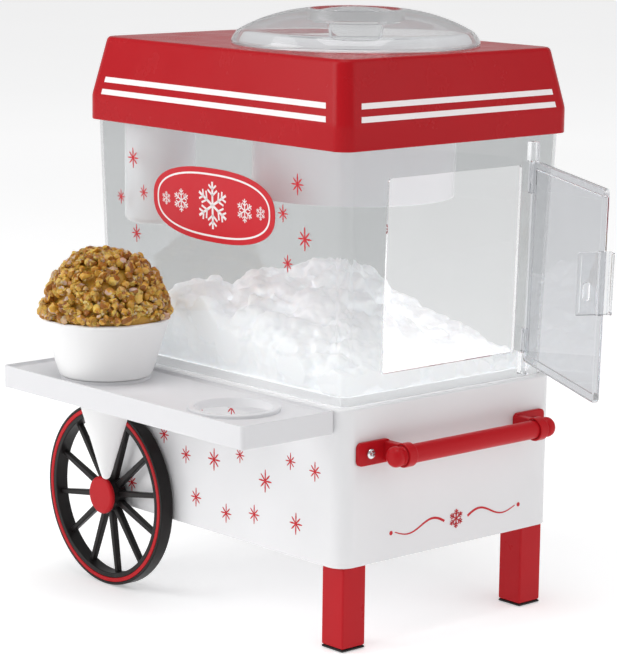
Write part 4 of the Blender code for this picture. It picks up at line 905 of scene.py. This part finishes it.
def inside_case(place):
    """The place moved inside the pan, or inside the case's walls above the pan's rim."""
    x, y, z = place
    half_x, half_y, corner = (*case_half(z, 2.4), 5.6) if z > PAN_RIM else (*PAN_HALF, 3.0)
    x, y = min(max(x, -half_x), half_x), min(max(y, -half_y), half_y)
    past = Vector((abs(x) - half_x + corner, abs(y) - half_y + corner))
    if past.x > 0 and past.y > 0 and past.length > corner:
        past *= corner / past.length
        x, y = math.copysign(half_x - corner + past.x, x), math.copysign(half_y - corner + past.y, y)
    return Vector((x, y, z))


def make_heap():
    """Billowing lumps over a heap: one closed skin, remeshed and roughened at three sizes."""
    rng = random.Random(5)
    floor, half_x, half_y = 165.2, 91.5, 121.0
    shape = bmesh.new()
    bmesh.ops.create_grid(shape, x_segments=60, y_segments=80, size=1.0)
    for v in shape.verts:
        x, y = v.co.x * half_x, v.co.y * half_y
        v.co = (x, y, floor + max(7.0, heap_height(x, y) - 7.0))
    grown = bmesh.ops.extrude_face_region(shape, geom=shape.faces[:])["geom"]
    for v in (g for g in grown if isinstance(g, bmesh.types.BMVert)):
        v.co.z = floor
    bmesh.ops.recalc_face_normals(shape, faces=shape.faces)
    parts = [shape]
    for _ in range(LUMPS):
        x, y = rng.uniform(-half_x, half_x), rng.uniform(-half_y, half_y)
        high = heap_height(x, y)
        size = min(rng.choice((3.5, 4.5, 5.5, 7, 9, 12, 16)), 3 + high * 0.4)
        z = floor + max(size, high - size * rng.uniform(0.6, 1.2))
        lump = bmesh.new()
        bmesh.ops.create_icosphere(lump, subdivisions=3, radius=size)
        squash = Matrix.Diagonal((rng.uniform(0.85, 1.0), rng.uniform(0.85, 1.0), rng.uniform(0.7, 1.0), 1))
        parts.append((lump, shift(x, y, z) @ squash))
    body = temporary(gather(*parts))
    step = body.modifiers.new("remesh", "REMESH")
    step.mode, step.voxel_size = "VOXEL", 1.7
    ease = body.modifiers.new("ease", "SMOOTH")
    ease.factor, ease.iterations = 0.5, 3
    whole = finished(body)
    whole.normal_update()
    for v in whole.verts:
        if v.co.z > floor + 1.0:
            push = 2.2 * noise.noise(v.co / 12.0) + 1.5 * noise.noise(v.co / 5.2) + 0.8 * noise.noise(v.co / 2.6)
            v.co += v.normal * push
        v.co.z = max(v.co.z, floor)
        v.co = inside_case(v.co)
    piece("heap_of_shaved_ice", whole, CART, SNOW, "cart", ["shaved_ice_heap"], sharp=180)


# ------------------------ CAD nodes that stay as they are
def paint_carried_nodes():
    finishes = {
        WHITE_SATIN: ("base_bottom_plate", "roof_deck", "bearing_spider"),
        WHITE_PAN_PAINTED_GLOW: ("floor_pan",),
        BLACK: ("axle_bush_left", "axle_bush_right", "blade_pulley", "motor_pulley"),
        RUBBER: ("drive_belt",),
        BLACK_MATT: ("wiring_lead",),
        STEEL: ("wheel_axle", "axle_push_nut_left", "axle_push_nut_right", "blade_shaft", "shaft_collar",
                "shaving_blades", "blade_nut", "motor_screw_1", "motor_screw_2", "motor_shaft"),
        STEEL_DULL: ("blade_disc", "motor"),
        BRONZE: ("shaft_bush",),
    }
    for finish, names in finishes.items():
        for name in names:
            mesh = bpy.data.objects[name].data
            if not mesh.materials:
                mesh.materials.append(finish)
            for index in range(len(mesh.materials)):
                mesh.materials[index] = finish


# ------------------------ floor, light and camera
def make_stage():
    n = Nodes("pale_floor")
    n.set(Base_Color=n.ramp(n.noise(2.0, 3.0), [(0.3, (0.90, 0.90, 0.90)), (0.7, (0.92, 0.92, 0.92))]))
    reach = n.add("ShaderNodeVectorMath", {0: n.where}, operation="LENGTH").outputs["Value"]
    n.set(Roughness=0.9, Specular_IOR_Level=0.1)
    n.set(Emission_Color=(1, 1, 1, 1), Emission_Strength=n.range(reach, 0.36, 0.54, 0.4, 3.0))
    mesh = bpy.data.meshes.new("floor")
    far, low = 14.0, -0.0004
    mesh.from_pydata([(-far, -far, low), (far, -far, low), (far, far, low), (-far, far, low)], [], [(0, 1, 2, 3)])
    floor = bpy.data.objects.new("floor", mesh)
    mesh.materials.append(n.material)
    bpy.context.scene.collection.objects.link(floor)

    world = bpy.data.worlds.new("studio")
    bpy.context.scene.world = world
    world.use_nodes = True
    tree = world.node_tree
    background = tree.nodes["Background"]
    where = tree.nodes.new("ShaderNodeTexCoord")
    split = tree.nodes.new("ShaderNodeSeparateXYZ")
    tree.links.new(where.outputs["Generated"], split.inputs[0])
    levels = [(0.0, 0.78), (0.25, 0.62), (1.0, 0.42)]
    ramp = with_stops(tree.nodes.new("ShaderNodeValToRGB"), [(place, (v, v, v * 1.01)) for place, v in levels])
    tree.links.new(split.outputs["Z"], ramp.inputs["Fac"])
    tree.links.new(ramp.outputs["Color"], background.inputs["Color"])
    background.inputs["Strength"].default_value = 0.68
    seen = tree.nodes.new("ShaderNodeBackground")  # a white backdrop behind the machine, which lights nothing
    path = tree.nodes.new("ShaderNodeLightPath")
    mix = tree.nodes.new("ShaderNodeMixShader")
    seen.inputs["Color"].default_value = (1, 1, 1, 1)
    tree.links.new(path.outputs["Is Camera Ray"], mix.inputs[0])
    tree.links.new(background.outputs[0], mix.inputs[1])
    tree.links.new(seen.outputs[0], mix.inputs[2])
    tree.links.new(mix.outputs[0], tree.nodes["World Output"].inputs["Surface"])


def make_light(name, azimuth, elevation, distance, size, power):
    """An area light at an angle round the machine, aimed at its middle."""
    data = bpy.data.lights.new(name, "AREA")
    data.shape = "RECTANGLE"
    data.size, data.size_y = size
    data.energy = power
    light = bpy.data.objects.new(name, data)
    aim = Vector((*CART.translation.xy, 0.22))
    a, e = math.radians(azimuth), math.radians(elevation)
    light.location = aim + distance * Vector((math.cos(a) * math.cos(e), math.sin(a) * math.cos(e), math.sin(e)))
    light.rotation_euler = (aim - light.location).to_track_quat("-Z", "Y").to_euler()
    bpy.context.scene.collection.objects.link(light)


def make_camera():
    yaw, pitch, roll = math.radians(-42.1), math.radians(10.4), math.radians(0.7)
    forward = Vector((-math.sin(yaw) * math.cos(pitch), math.cos(yaw) * math.cos(pitch), -math.sin(pitch)))
    right = Vector((math.cos(yaw), math.sin(yaw), 0))
    up = right.cross(forward)
    right, up = right * math.cos(roll) + up * math.sin(roll), up * math.cos(roll) - right * math.sin(roll)
    data = bpy.data.cameras.new("camera")
    data.sensor_width = 36.0
    data.lens = 144.78
    data.clip_start, data.clip_end = 0.05, 60.0
    camera = bpy.data.objects.new("camera", data)
    eye = CART @ Vector((-1221.9, -1338.2, 520.0))
    camera.matrix_world = Matrix((
        (right.x, up.x, -forward.x, eye.x), (right.y, up.y, -forward.y, eye.y), (right.z, up.z, -forward.z, eye.z),
        (0, 0, 0, 1)))
    bpy.context.scene.collection.objects.link(camera)
    bpy.context.scene.camera = camera


def main():
    make_camera()
    make_base()
    for side in SIDES:
        make_wheel(side)
    make_handle()
    make_shelf()
    make_cup()
    make_flavoured_ice()
    make_case()
    make_door()
    make_roof()
    make_hopper()
    make_lid()
    make_rear_fittings()
    make_prints()
    make_heap()
    paint_carried_nodes()
    make_stage()
    make_light("key_left", 152, 24, 2.2, (1.3, 1.7), 21)
    make_light("key_front", 300, 22, 2.3, (1.3, 1.7), 6.5)
    make_light("top", 225, 78, 2.4, (1.6, 1.6), 27)
    bpy.context.scene.view_settings.view_transform = "Standard"


main()
